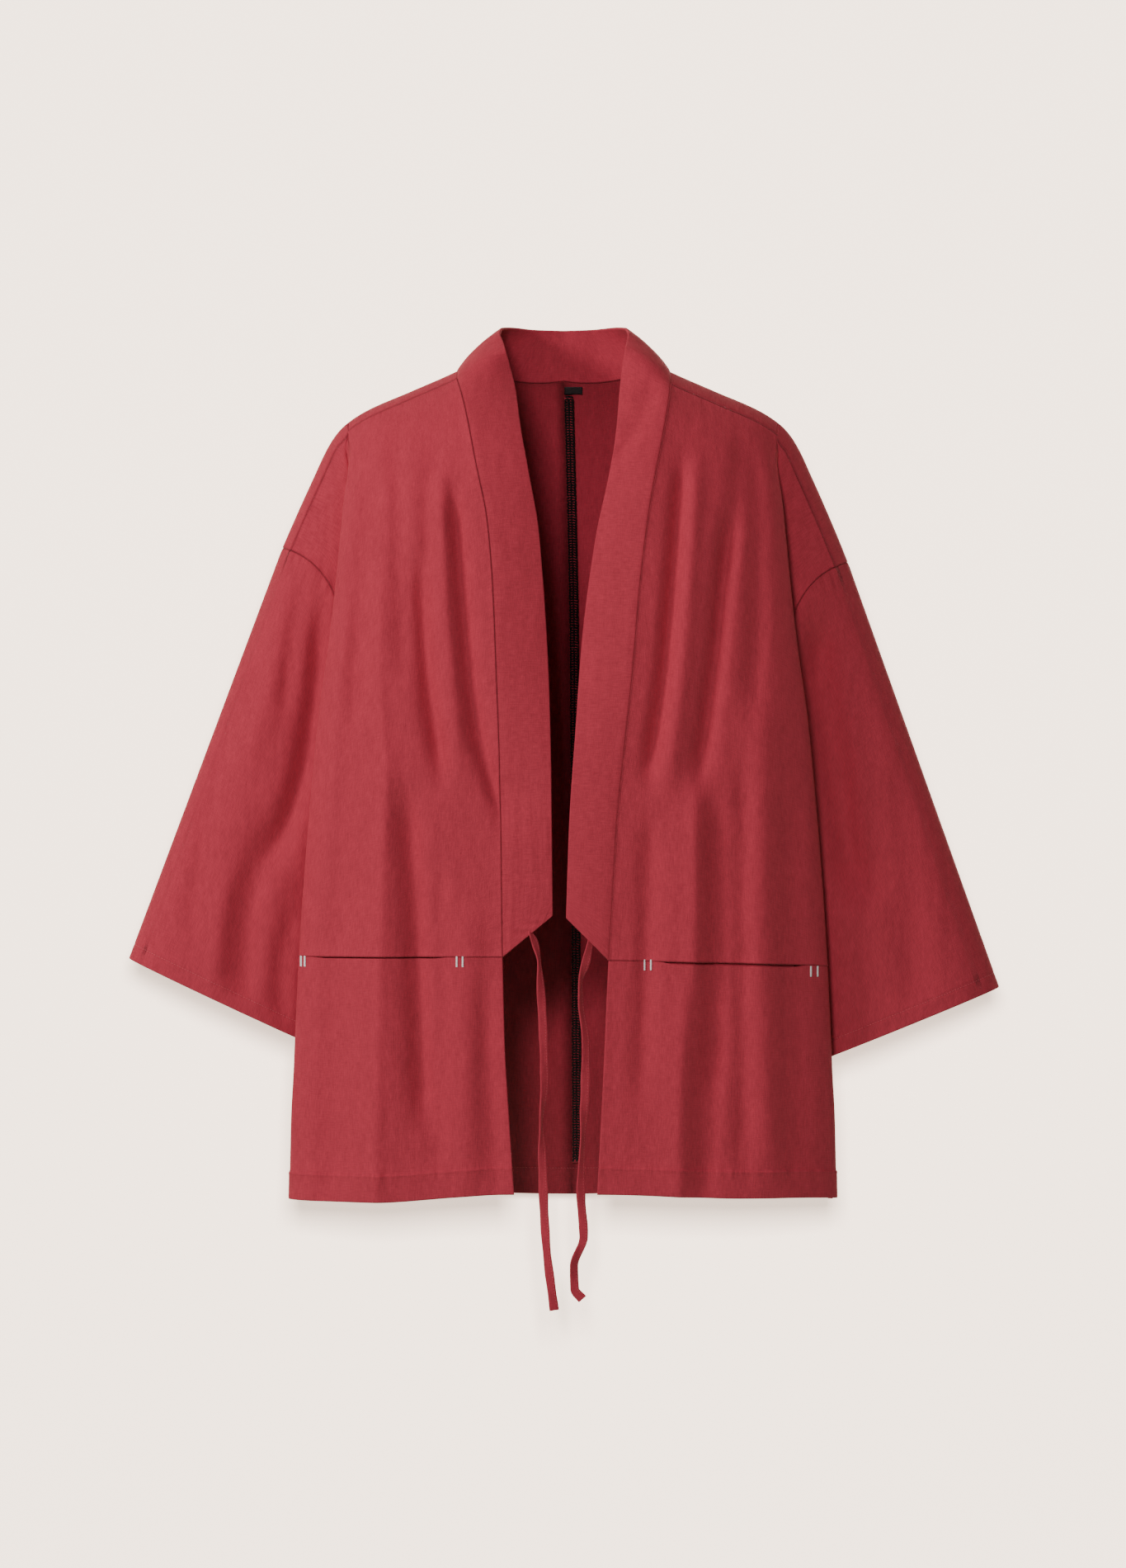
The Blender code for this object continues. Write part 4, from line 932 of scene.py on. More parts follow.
FACE_SHARES = spaced((0.0, 0.015, 7), (0.015, 0.05, 8), (0.05, 0.93, 78), (0.93, 1.0, 12))
WRAP_SHARES = spaced((1.0, 1.5, 24), (1.5, 1.96, 15), (1.96, 1.985, 3), (1.985, 2.0, 4))
COLUMNS = np.concatenate([FACE_SHARES, WRAP_SHARES[1:]])
UPPER_STEPS = spaced((0.0, 0.009, 7), (0.009, 0.03, 5), (0.03, 0.97, 98), (0.97, 0.991, 5),
                     (0.991, 1.0, 7))
LOWER_STEPS = spaced((0.0, 0.014, 5), (0.014, 0.05, 5), (0.05, 0.865, 34), (0.865, 0.91, 14),
                     (0.91, 0.985, 8), (0.985, 1.0, 4))
STRIP_STEPS = 8
NECK_STEPS = 22
SLEEVE_STEPS = spaced((0.0, 0.012, 7), (0.012, 0.10, 16), (0.10, 0.948, 62), (0.948, 0.975, 12),
                      (0.975, 0.993, 4), (0.993, 1.0, 4))


def front_upper_grid(side: SideForm) -> Array:
    """The front panel's upper part."""
    top = side.column_top(PanelFace.FRONT, COLUMNS)
    pocket = side.pocket_height(COLUMNS)
    rows = top[None] + (pocket - top)[None] * UPPER_STEPS[:, None]
    return side.panel(PanelFace.FRONT, np.broadcast_to(COLUMNS, rows.shape), rows)


def front_lower_grid(side: SideForm) -> Array:
    """The front panel's lower part, its top edge gaping at the pocket's mouth."""
    pocket = side.pocket_height(COLUMNS)
    hem = side.hem_height(PanelFace.FRONT, COLUMNS)
    rows = pocket[None] + (hem - pocket)[None] * LOWER_STEPS[:, None]
    grid = side.panel(PanelFace.FRONT, np.broadcast_to(COLUMNS, rows.shape), rows)
    inner, outer = side.pocket_span
    out = np.abs(grid[0, :, 0])
    gape = ease((out - inner) / 0.02) * ease((outer - out) / 0.02) * (COLUMNS <= 1)
    fall = np.exp(-np.arange(len(rows)) / 2.5)[:, None]
    grid[..., 2] -= 2 * side.pocket_gape * gape[None] * fall
    return grid


def neck_top(side: SideForm) -> tuple[Array, Array]:
    """The back's neck seam from the middle to the ridge: outs and heights."""
    turn = np.linspace(0, 1, NECK_STEPS + 1)
    share = np.sin(turn * math.pi / 2) ** 0.9
    out = side.sign * BACK_SEAM_X(NECK_Z) * (1 - share) + NECK_OUT * share
    y = NECK_DEPTH * np.sqrt(np.maximum(1 - (np.abs(out) / NECK_OUT) ** NECK_POWER, 0))
    rest = np.clip(1 - (np.abs(out) / EDGE_OUT(NECK_Z)) ** FACE_POWER, 0, 1)
    at_edge = SIDE_DEPTH[PanelFace.BACK](NECK_Z)
    full = at_edge + (MID_DEPTH[PanelFace.BACK](NECK_Z) - at_edge) * rest**DEPTH_POWER
    drop = SHOULDER_DROP * (1 - np.sqrt(1 - np.minimum(y / full, 0.999) ** 2))
    return out, RIDGE_Z(out) - drop


def back_grids(side: SideForm) -> tuple[Array, Array]:
    """The back panel as a main grid and the strip in front of the ridge."""
    front_top = front_upper_grid(side)[0]
    face = COLUMNS <= 1
    out = np.abs(front_top[face, 0])
    inner = side.sign * BACK_SEAM_X(0.01)
    edge = EDGE_OUT(0.0)
    neck_out, neck_z = neck_top(side)
    shoulder, neck = (
        1 - np.clip((edge - place) / (edge - inner), 0, 1) ** (1 / FACE_SPREAD)
        for place in (out, neck_out)
    )
    neck[0] = 0.0
    main = np.concatenate([neck[:-1], shoulder, COLUMNS[~face]])
    top = side.column_top(PanelFace.BACK, main)
    top[:NECK_STEPS] = neck_z[:-1]
    pocket = side.pocket_height(main)
    upper = top[None] + (pocket - top)[None] * UPPER_STEPS[:, None]
    hem = side.hem_height(PanelFace.BACK, main)
    lower = pocket[None] + (hem - pocket)[None] * LOWER_STEPS[1:, None]
    heights = np.concatenate([upper, lower])
    grid = side.panel(PanelFace.BACK, np.broadcast_to(main, heights.shape), heights)
    ridge = grid[0, NECK_STEPS:]
    strip = []
    for row in range(STRIP_STEPS + 1):
        share = row / STRIP_STEPS
        rise = 1 - (1 - share) ** 2
        strip.append(front_top + (ridge - front_top) * np.array([rise, share, rise]))
    return grid, np.array(strip)


def sleeve_grid(side: SideForm) -> tuple[Array, Array]:
    """The sleeve's points from the armhole to the cuff, and its turns."""
    front = front_upper_grid(side)[:, -1]
    grid, strip = back_grids(side)
    back = grid[: len(UPPER_STEPS), -1]
    bottom_out, _, bottom_z = side.ring(math.pi)
    front, back = (seam[seam[:, 2] > float(bottom_z) + 0.0015] for seam in (front, back))
    front_turn = side.ring_turn_at(front[:, 2])
    back_turn = side.ring_turn_at(back[:, 2])
    bottom = np.array([[side.sign * bottom_out, 0.0, bottom_z]])
    top = strip[:, -1][::-1][1:-1]
    start = np.concatenate([front, bottom, back[::-1], top])
    between = np.linspace(0, side.seam_turn, STRIP_STEPS + 1)[1:-1]
    turns = np.concatenate([front_turn, [math.pi], -back_turn[::-1], between])
    even = np.concatenate([
        np.linspace(side.seam_turn, math.pi, len(front) + 1),
        np.linspace(-math.pi, 0, len(back) + 1)[1:],
        between,
    ])
    along = blend(turns, even, 0.7)
    cuff = np.stack(side.cuff(along), axis=-1)
    cuff[:, 0] *= side.sign
    share = SLEEVE_STEPS[:, None, None]
    grid = start[None] + (cuff - start)[None] * share
    fade = np.minimum(ease(SLEEVE_STEPS / 0.15), ease((1.0 - SLEEVE_STEPS) / 0.12 + 0.25))
    fade = fade[:, None]
    out = np.abs(grid[..., 0])
    for panel in PanelFace:
        moved = fold_depth(side.sleeve_folds[panel], out, grid[..., 2]) * fade
        here = np.sign(along) == -panel.sign
        grid[..., 1] -= panel.sign * moved * here * np.abs(np.sin(along)) ** 0.5
    return grid, along


def collar_half(side: SideForm) -> tuple[Array, Array, Array]:
    """Seam, free edge and fullness of half the collar, from its lower end to mid back."""
    column = front_upper_grid(side)[::-1, 0]
    grid, strip = back_grids(side)
    seam = np.concatenate([column, strip[1:, 0], grid[0, :NECK_STEPS][::-1]])
    rise_z = column[:, 2] + COLLAR_RISE(column[:, 2])
    out = side.free_edge(rise_z)
    near = ease((rise_z + 0.090) / 0.115)
    y = -blend(side.depth(PanelFace.FRONT, out, rise_z), -NECK_EDGE_Y(2.0), near**2)
    lower = np.stack([side.sign * out, y, rise_z], axis=-1)
    lower_bulge = blend(0.0015, 0.0030, near)
    t = np.concatenate([
        2 - np.arange(1, STRIP_STEPS + 1) / STRIP_STEPS,
        1 - np.arange(1, NECK_STEPS + 1) / NECK_STEPS,
    ])
    shift = side.free_edge(0.030) - NECK_EDGE_OUT(2.0)
    edge = NECK_EDGE_OUT(t) + shift * ease(t / 2)
    edge[-1] = side.sign * BACK_SEAM_X(NECK_Z)
    upper = np.stack([side.sign * edge, NECK_EDGE_Y(t), NECK_EDGE_Z(t)], axis=-1)
    return seam, np.concatenate([lower, upper]), np.concatenate([lower_bulge, NECK_BULGE(t)])


def collar_grid() -> Array:
    """The collar: from the seam to the free edge, right lower end to left lower end."""
    halves = [collar_half(side) for side in SIDES]
    seam, free, bulge = (
        np.concatenate([right, left[::-1][1:]]) for right, left in zip(*halves)
    )
    along = np.gradient(seam, axis=0) + np.gradient(free, axis=0)
    outward = unit(np.cross(free - seam, along))
    shares = spaced((0.0, 0.06, 6), (0.06, 0.94, 22), (0.94, 1.0, 5))
    return np.array([
        seam + (free - seam) * s + outward * (bulge * 4 * s * (1 - s))[:, None] for s in shares
    ])


def on_face(side: SideForm, panel: PanelFace, out: Array, z: Array, lift: float = 0.0) -> Array:
    """A place on a panel's face from how far out it lies, moved outward by lift."""
    column = side.column_at(panel, out, z)
    point = side.panel(panel, column, z)
    if not lift:
        return point
    return point + side.panel_normal(panel, column, z) * lift


class TiePoint(NamedTuple):
    """A place on a tie's centre line and how far the ribbon has turned there."""

    x: float
    y: float
    z: float
    turn: float


TIES = {
    "right": (
        TiePoint(-0.0300, -0.0940, -0.4900, 60),
        TiePoint(-0.0282, -0.0985, -0.4972, 60),
        TiePoint(-0.0255, -0.0975, -0.5035, 40),
        TiePoint(-0.0215, -0.0965, -0.5210, 75),
        TiePoint(-0.0203, -0.0960, -0.5400, 40),
        TiePoint(-0.0180, -0.0955, -0.5800, 10),
        TiePoint(-0.0165, -0.0955, -0.6290, 30),
        TiePoint(-0.0196, -0.0960, -0.6665, 75),
        TiePoint(-0.0185, -0.0960, -0.6960, 20),
        TiePoint(-0.0172, -0.0955, -0.7385, 0),
        TiePoint(-0.0150, -0.0950, -0.7750, -10),
        TiePoint(-0.0078, -0.0945, -0.8335, 10),
    ),
    "left": (
        TiePoint(0.0268, -0.0938, -0.4985, 40),
        TiePoint(0.0240, -0.0985, -0.5068, 40),
        TiePoint(0.0210, -0.0975, -0.5200, 20),
        TiePoint(0.0155, -0.0965, -0.5420, 70),
        TiePoint(0.0160, -0.0960, -0.5590, 60),
        TiePoint(0.0205, -0.0955, -0.5960, 30),
        TiePoint(0.0196, -0.0955, -0.6400, 10),
        TiePoint(0.0174, -0.0960, -0.6830, 60),
        TiePoint(0.0160, -0.0958, -0.7280, 20),
        TiePoint(0.0185, -0.0955, -0.7675, 0),
        TiePoint(0.0098, -0.0952, -0.7940, 30),
        TiePoint(0.0105, -0.0948, -0.8145, 5),
        TiePoint(0.0175, -0.0942, -0.8235, 0),
    ),
}


def tie_centre(side_name: str, count: int) -> tuple[Array, Array]:
    """A tie's centre line and turn at even steps."""
    rows = TIES[side_name]
    places = np.array([[row.x, row.y, row.z] for row in rows])
    lengths = lengths_along(places)
    stations = np.linspace(0, lengths[-1], count)
    centre = np.stack([Curve(lengths, places[:, k])(stations) for k in range(3)], axis=-1)
    return centre, Curve(lengths, [row.turn for row in rows])(stations)


def border_distance(grid: Array) -> tuple[Array, Array, Array, Array]:
    """Distances along the cloth from its first and last row and first and last column."""
    down = np.linalg.norm(np.diff(grid, axis=0), axis=2)
    across = np.linalg.norm(np.diff(grid, axis=1), axis=2)
    top = np.concatenate([np.zeros((1, grid.shape[1])), np.cumsum(down, axis=0)])
    left = np.concatenate([np.zeros((grid.shape[0], 1)), np.cumsum(across, axis=1)], axis=1)
    return top, top[-1:] - top, left, left[:, -1:] - left


class Border(Enum):
    """An edge of a piece of cloth, as its rows and columns are stored."""

    TOP = "first row"
    BOTTOM = "last row"
    FIRST = "first column"
    LAST = "last column"


def seam_line(cloth: Cloth, flip: bool, border: Border, distance: float, lift: float) -> Array:
    """A line on the cloth at a distance from one of its edges.

    Args:
        cloth: The piece of cloth.
        flip: Whether its rows and columns give a normal that points inside.
        border: The edge that the line follows.
        distance: How far from that edge.
        lift: How far the line stands outside the cloth's middle.

    Returns:
        The line's points.
    """
    grid = cloth.grid
    normal = cloth.normals * (-1 if flip else 1)
    if border in (Border.FIRST, Border.LAST):
        grid = grid.transpose(1, 0, 2)
        normal = normal.transpose(1, 0, 2)
    if border in (Border.BOTTOM, Border.LAST):
        grid = grid[::-1]
        normal = normal[::-1]
    away = border_distance(grid)[0]
    line = np.empty((grid.shape[1], 3))
    for column in range(grid.shape[1]):
        for k in range(3):
            place = np.interp(distance, away[:, column], grid[:, column, k])
            out = np.interp(distance, away[:, column], normal[:, column, k])
            line[column, k] = place + out * lift
    return line


# Along a stitch: place from end to end, width and how far it sinks, in thread radii.
STITCH_FORM = np.array([
    (-1.0, -0.80, -0.3, 0.3, 0.80, 1.0),
    (0.25, 0.8, 1.0, 1.0, 0.8, 0.25),
    (1.1, 0.4, 0.0, 0.0, 0.4, 1.1),
])


@dataclass(frozen=True)
class StitchStyle:
    """A row of machine stitches: its pitch, thread and how much thread shows."""

    pitch: float = 0.0027
    radius: float = 0.00024
    share: float = 0.74
    sides: int = 6

    def sew(self, name: str, lines: Sequence[Array], facing: Sequence[Array]) -> bpy.types.Object:
        """Lays short threads end to end along lines.

        Args:
            name: The object's name.
            lines: The points that the threads follow.
            facing: The outward direction at each line, as one direction or one per point.

        Returns:
            One mesh with every stitch.
        """
        ring = np.linspace(0, 2 * math.pi, self.sides, endpoint=False)
        places, widths, sinks = STITCH_FORM
        points = []
        for line, face in zip(lines, facing):
            steps, ahead = resampled(line, np.broadcast_to(face, line.shape), self.pitch)
            middle = (steps[1:] + steps[:-1]) / 2
            along = unit(steps[1:] - steps[:-1])
            up = unit(ahead[1:] + ahead[:-1])
            up = unit(up - along * np.sum(up * along, axis=1, keepdims=True))
            over = np.cross(along, up)
            half = np.linalg.norm(steps[1:] - steps[:-1], axis=1) * self.share / 2
            centre = middle[:, None] + along[:, None] * (half[:, None] * places)[..., None]
            centre = centre - up[:, None] * (sinks * self.radius)[None, :, None]
            spoke = (
                over[:, None, None] * np.cos(ring)[None, None, :, None]
                + up[:, None, None] * np.sin(ring)[None, None, :, None]
            )
            tube = centre[:, :, None] + spoke * (widths * self.radius)[None, :, None, None]
            points.append(tube.reshape(-1, 3))
        point = np.concatenate(points)
        per = len(places) * self.sides
        start = per * np.arange(len(point) // per)
        one = grid_quads(len(places), self.sides, closed=True)[:, ::-1]
        quads = (one[None] + start[:, None, None]).reshape(-1, 4).tolist()
        quads += [tuple(first + k for k in range(self.sides)) for first in start]
        quads += [tuple(first + per - 1 - k for k in range(self.sides)) for first in start]
        return mesh_object(name, point, quads)


def resampled(line: Array, facing: Array, step: float) -> tuple[Array, Array]:
    """Points and directions at even steps along a line."""
    length = lengths_along(line)
    at = np.linspace(0, length[-1], max(2, int(length[-1] / step) + 1))
    places = np.stack([np.interp(at, length, line[:, k]) for k in range(3)], axis=-1)
    ways = np.stack([np.interp(at, length, facing[:, k]) for k in range(3)], axis=-1)
    return places, ways


def tube(name: str, centre: Array, across: Array, flat: Array, outline: Array,
         width: Array | float = 1.0) -> bpy.types.Object:
    """A closed rod that carries an outline along a centre line.

    Args:
        name: The object's name.
        centre: The line's points.
        across: The outline's first direction at each point.
        flat: Its second direction at each point.
        outline: The outline's points in those two directions.
        width: How wide the outline is at each point, as a share.

    Returns:
        The rod, with cloth coordinates along it.
    """
    count, n = len(centre), len(outline)
    size = np.broadcast_to(width, (count,))[:, None, None]
    ring = (
        across[:, None] * (outline[:, 0])[None, :, None] * size
        + flat[:, None] * (outline[:, 1])[None, :, None]
    )
    points = (centre[:, None] + ring).reshape(-1, 3)
    side = grid_quads(count, n, closed=True)
    quads = side.tolist()
    quads += [tuple(range(n))[::-1], tuple(range((count - 1) * n, count * n))]
    around, length = lengths_along(outline), lengths_along(centre)
    lay = np.stack(np.meshgrid(around, length), axis=-1).reshape(-1, 2)
    outward = points[side].mean(axis=1) - np.repeat((centre[1:] + centre[:-1]) / 2, n, axis=0)
    if np.sum(face_areas(points, side) * outward) < 0:
        quads = [quad[::-1] for quad in quads]
    return mesh_object(name, points, quads, lay)


def new_material(
    name: str, colour: Colour
) -> tuple[bpy.types.Material, bpy.types.Nodes, bpy.types.NodeLinks, bpy.types.Node]:
    """A material with its nodes, links and surface shader."""
    made = bpy.data.materials.new(name)
    made.use_nodes = True
    made.diffuse_color = (*colour, 1.0)
    nodes = made.node_tree.nodes
    return made, nodes, made.node_tree.links, nodes["Principled BSDF"]


def join_surface(nodes: bpy.types.Nodes, links: bpy.types.NodeLinks, group: bpy.types.Node,
                 shader: bpy.types.Node, strength: float) -> None:
    """Lets a group with a Colour and a Relief output drive a shader."""
    bump = nodes.new("ShaderNodeBump")
    bump.inputs["Strength"].default_value = strength
    bump.inputs["Distance"].default_value = 1.0
    links.new(group.outputs["Colour"], shader.inputs["Base Color"])
    links.new(group.outputs["Relief"], bump.inputs["Height"])
    links.new(bump.outputs["Normal"], shader.inputs["Normal"])


@dataclass(frozen=True)
class ClothFinish:
    """Woven cotton: its colour and how deep its grain and crinkle are."""

    name: str = "red_cotton"
    colour: Colour = (0.53, 0.038, 0.066)
    # The darker colour that the grain's tone and the painted shade along seams mix toward.
    shadow: Colour = (0.13, 0.006, 0.013)
    weave: float = 0.00005
    slub: float = 0.00016
    crinkle: float = 0.00045
    sheen: float = 0.04

    def material(self, group: bpy.types.NodeTree) -> bpy.types.Material:
        """The cloth's material.

        Args:
            group: The woven surface's node group.

        Returns:
            A material that reads the cloth coordinates and the amounts of painted shade along
            seams.
        """
        made, nodes, links, shader = new_material(self.name, self.colour)
        lay = nodes.new("ShaderNodeUVMap")
        lay.uv_map = "Cloth"
        place = nodes.new("ShaderNodeTexCoord")
        woven = nodes.new("ShaderNodeGroup")
        woven.node_tree = group
        woven.inputs["Cloth Colour"].default_value = (*self.colour, 1.0)
        woven.inputs["Seam Shade And Grain Colour"].default_value = (*self.shadow, 1.0)
        woven.inputs["Weave Depth"].default_value = self.weave
        woven.inputs["Slub Depth"].default_value = self.slub
        woven.inputs["Crinkle Depth"].default_value = self.crinkle
        links.new(lay.outputs["UV"], woven.inputs["Lay"])
        links.new(place.outputs["Object"], woven.inputs["Place"])
        # Seam brings in the painted shade along seams; the gathers only move the relief.
        for key in ("Seam", "Gather Down", "Gather Across"):
            amount = nodes.new("ShaderNodeAttribute")
            amount.attribute_name = key
            links.new(amount.outputs["Fac"], woven.inputs[key])
        join_surface(nodes, links, woven, shader, 1.0)
        links.new(woven.outputs["Roughness"], shader.inputs["Roughness"])
        shader.inputs["Sheen Weight"].default_value = self.sheen
        shader.inputs["Sheen Roughness"].default_value = 0.5
        shader.inputs["Sheen Tint"].default_value = (1.0, 0.55, 0.5, 1.0)
        shader.inputs["Specular IOR Level"].default_value = 0.22
        return made


@dataclass(frozen=True)
class ThreadFinish:
    """Spun sewing thread with its twist."""

    name: str
    colour: Colour
    dark: Colour
    roughness: float = 0.62

    def material(self, twist: bpy.types.NodeTree) -> bpy.types.Material:
        """The thread's material, its twist from the shared group."""
        made, nodes, links, shader = new_material(self.name, self.colour)
        place = nodes.new("ShaderNodeTexCoord")
        spun = nodes.new("ShaderNodeGroup")
        spun.node_tree = twist
        spun.inputs["Light Colour"].default_value = (*self.colour, 1.0)
        spun.inputs["Dark Colour"].default_value = (*self.dark, 1.0)
        links.new(place.outputs["Object"], spun.inputs["Place"])
        join_surface(nodes, links, spun, shader, 0.6)
        shader.inputs["Roughness"].default_value = self.roughness
        shader.inputs["Specular IOR Level"].default_value = 0.15
        return made


class NodeMaker:
    """Short ways to add nodes to a shader group.

    Attributes:
        tree: The group that the nodes go into.
    """

    def __init__(self, name: str, inputs: Sequence[tuple[str, str]],
                 outputs: Sequence[tuple[str, str]]) -> None:
        """Starts the group.

        Args:
            name: Its name.
            inputs: Name and kind of each input.
            outputs: Name and kind of each output.
        """
        self.tree = bpy.data.node_groups.new(name, "ShaderNodeTree")
        for way, sockets in (("INPUT", inputs), ("OUTPUT", outputs)):
            for label, kind in sockets:
                self.tree.interface.new_socket(label, in_out=way, socket_type=kind)
        self.source = self.tree.nodes.new("NodeGroupInput")
        self.target = self.tree.nodes.new("NodeGroupOutput")

    def link(self, source: bpy.types.NodeSocket, target: bpy.types.NodeSocket) -> None:
        """Joins two sockets."""
        self.tree.links.new(source, target)

    def given(self, label: str) -> bpy.types.NodeSocket:
        """The group's input of that name."""
        return self.source.outputs[label]

    def stretched(self, vector: bpy.types.NodeSocket, scale: tuple[float, float, float],
                  shift: tuple[float, float, float] = (0.0, 0.0, 0.0)) -> bpy.types.NodeSocket:
        """A vector scaled along its axes and moved."""
        node = self.tree.nodes.new("ShaderNodeMapping")
        node.inputs["Scale"].default_value = scale
        node.inputs["Location"].default_value = shift
        self.link(vector, node.inputs["Vector"])
        return node.outputs["Vector"]

    def noise(self, vector: bpy.types.NodeSocket, scale: float, detail: float = 2.0,
              rough: float = 0.5) -> bpy.types.NodeSocket:
        """Noise from 0 to 1."""
        node = self.tree.nodes.new("ShaderNodeTexNoise")
        node.inputs["Scale"].default_value = scale
        node.inputs["Detail"].default_value = detail
        node.inputs["Roughness"].default_value = rough
        self.link(vector, node.inputs["Vector"])
        return node.outputs["Fac"]

    def bands(self, vector: bpy.types.NodeSocket, across: str,
              scale: float) -> bpy.types.NodeSocket:
        """Even bands across one axis, as threads lie."""
        node = self.tree.nodes.new("ShaderNodeTexWave")
        node.wave_type = "BANDS"
        node.bands_direction = across
        node.inputs["Scale"].default_value = scale
        node.inputs["Distortion"].default_value = 0.0
        self.link(vector, node.inputs["Vector"])
        return node.outputs["Fac"]

    def math(self, operation: str, first: bpy.types.NodeSocket | float,
             second: bpy.types.NodeSocket | float = 0.0) -> bpy.types.NodeSocket:
        """One sum on two values."""
        node = self.tree.nodes.new("ShaderNodeMath")
        node.operation = operation
        for socket, value in zip(node.inputs, (first, second)):
            if isinstance(value, float):
                socket.default_value = value
            else:
                self.link(value, socket)
        return node.outputs[0]

    def plus(self, base: bpy.types.NodeSocket, value: bpy.types.NodeSocket,
             factor: bpy.types.NodeSocket | float) -> bpy.types.NodeSocket:
        """A value times a factor on top of a base."""
        return self.math("ADD", base, self.math("MULTIPLY", value, factor))

    def mixed(self, share: bpy.types.NodeSocket, first: bpy.types.NodeSocket,
              second: bpy.types.NodeSocket, way: str = "MIX") -> bpy.types.NodeSocket:
        """Two colours mixed by a share."""
        node = self.tree.nodes.new("ShaderNodeMix")
        node.data_type = "RGBA"
        node.blend_type = way
        self.link(share, node.inputs[0])
        self.link(first, node.inputs[6])
        self.link(second, node.inputs[7])
        return node.outputs[2]

    def put(self, label: str, socket: bpy.types.NodeSocket) -> None:
        """Gives the group's output of that name."""
        self.link(socket, self.target.inputs[label])


def woven_surface() -> bpy.types.NodeTree:
    """Plain weave with slubs, soft crinkle, gathers along seams and painted shade along seam lines.
    """
    maker = NodeMaker(
        "Woven surface",
        (("Lay", "NodeSocketVector"), ("Place", "NodeSocketVector"),
         ("Cloth Colour", "NodeSocketColor"), ("Seam Shade And Grain Colour", "NodeSocketColor"),
         ("Weave Depth", "NodeSocketFloat"), ("Slub Depth", "NodeSocketFloat"),
         ("Crinkle Depth", "NodeSocketFloat"), ("Seam", "NodeSocketFloat"),
         ("Gather Down", "NodeSocketFloat"), ("Gather Across", "NodeSocketFloat")),
        (("Colour", "NodeSocketColor"), ("Roughness", "NodeSocketFloat"),
         ("Relief", "NodeSocketFloat")),
    )
    lay, place = maker.given("Lay"), maker.given("Place")
    warp = maker.bands(lay, "X", 270.0)
    weft = maker.bands(lay, "Y", 270.0)
    weave = maker.math("MULTIPLY", warp, weft)
    slub = maker.noise(maker.stretched(lay, (1100.0, 110.0, 1.0)), 1.0, 2.0, 0.6)
    cross = maker.noise(maker.stretched(lay, (160.0, 1000.0, 1.0), (3.0, 7.0, 0.0)), 1.0, 1.0)
    crinkle = maker.noise(maker.stretched(place, (150.0, 60.0, 60.0)), 1.0, 3.0, 0.55)
    broad = maker.noise(maker.stretched(place, (42.0, 20.0, 11.0), (5.0, 1.0, 2.0)), 1.0, 2.0)
    down = maker.noise(maker.stretched(lay, (135.0, 14.0, 1.0), (1.0, 9.0, 0.0)), 1.0, 1.0)
    across = maker.noise(maker.stretched(lay, (14.0, 135.0, 1.0), (8.0, 2.0, 0.0)), 1.0, 1.0)
    relief = maker.math("MULTIPLY", weave, maker.given("Weave Depth"))
    grain = maker.plus(slub, cross, 0.6)
    relief = maker.plus(relief, grain, maker.given("Slub Depth"))
    soft = maker.plus(crinkle, broad, 4.0)
    relief = maker.plus(relief, soft, maker.given("Crinkle Depth"))
    gathers = maker.math("MULTIPLY", down, maker.given("Gather Down"))
    gathers = maker.plus(gathers, across, maker.given("Gather Across"))
    relief = maker.plus(relief, gathers, 0.0022)
    maker.put("Relief", relief)
    shade = maker.math("MULTIPLY", grain, 0.56)
    shade = maker.plus(shade, crinkle, 0.32)
    shade = maker.math("SUBTRACT", shade, 0.34)
    # Painted shade: the Seam amount darkens the cloth along seams and stitch lines, where shade
    # falls in their sunk ditches.
    shade = maker.plus(shade, maker.given("Seam"), 0.50)
    shade = maker.math("MINIMUM", maker.math("MAXIMUM", shade, 0.0), 1.0)
    maker.put(
        "Colour", maker.mixed(shade, maker.given("Cloth Colour"), maker.given("Seam Shade And Grain Colour"))
    )
    maker.put("Roughness", maker.math("ADD", maker.math("MULTIPLY", slub, 0.12), 0.80))
    return maker.tree


def spun_thread() -> bpy.types.NodeTree:
    """The fine twist of sewing thread."""
    maker = NodeMaker(
        "Spun thread",
        (("Place", "NodeSocketVector"), ("Light Colour", "NodeSocketColor"),
         ("Dark Colour", "NodeSocketColor")),
        (("Colour", "NodeSocketColor"), ("Relief", "NodeSocketFloat")),
    )
    place = maker.given("Place")
    twist = maker.bands(maker.stretched(place, (1.0, 1.0, 1.0)), "DIAGONAL", 900.0)
    fuzz = maker.noise(place, 1600.0, 2.0)
    share = maker.math("MULTIPLY", maker.math("ADD", twist, fuzz), 0.28)
    maker.put(
        "Colour", maker.mixed(share, maker.given("Light Colour"), maker.given("Dark Colour"))
    )
    maker.put("Relief", maker.math("MULTIPLY", twist, 0.00006))
    return maker.tree


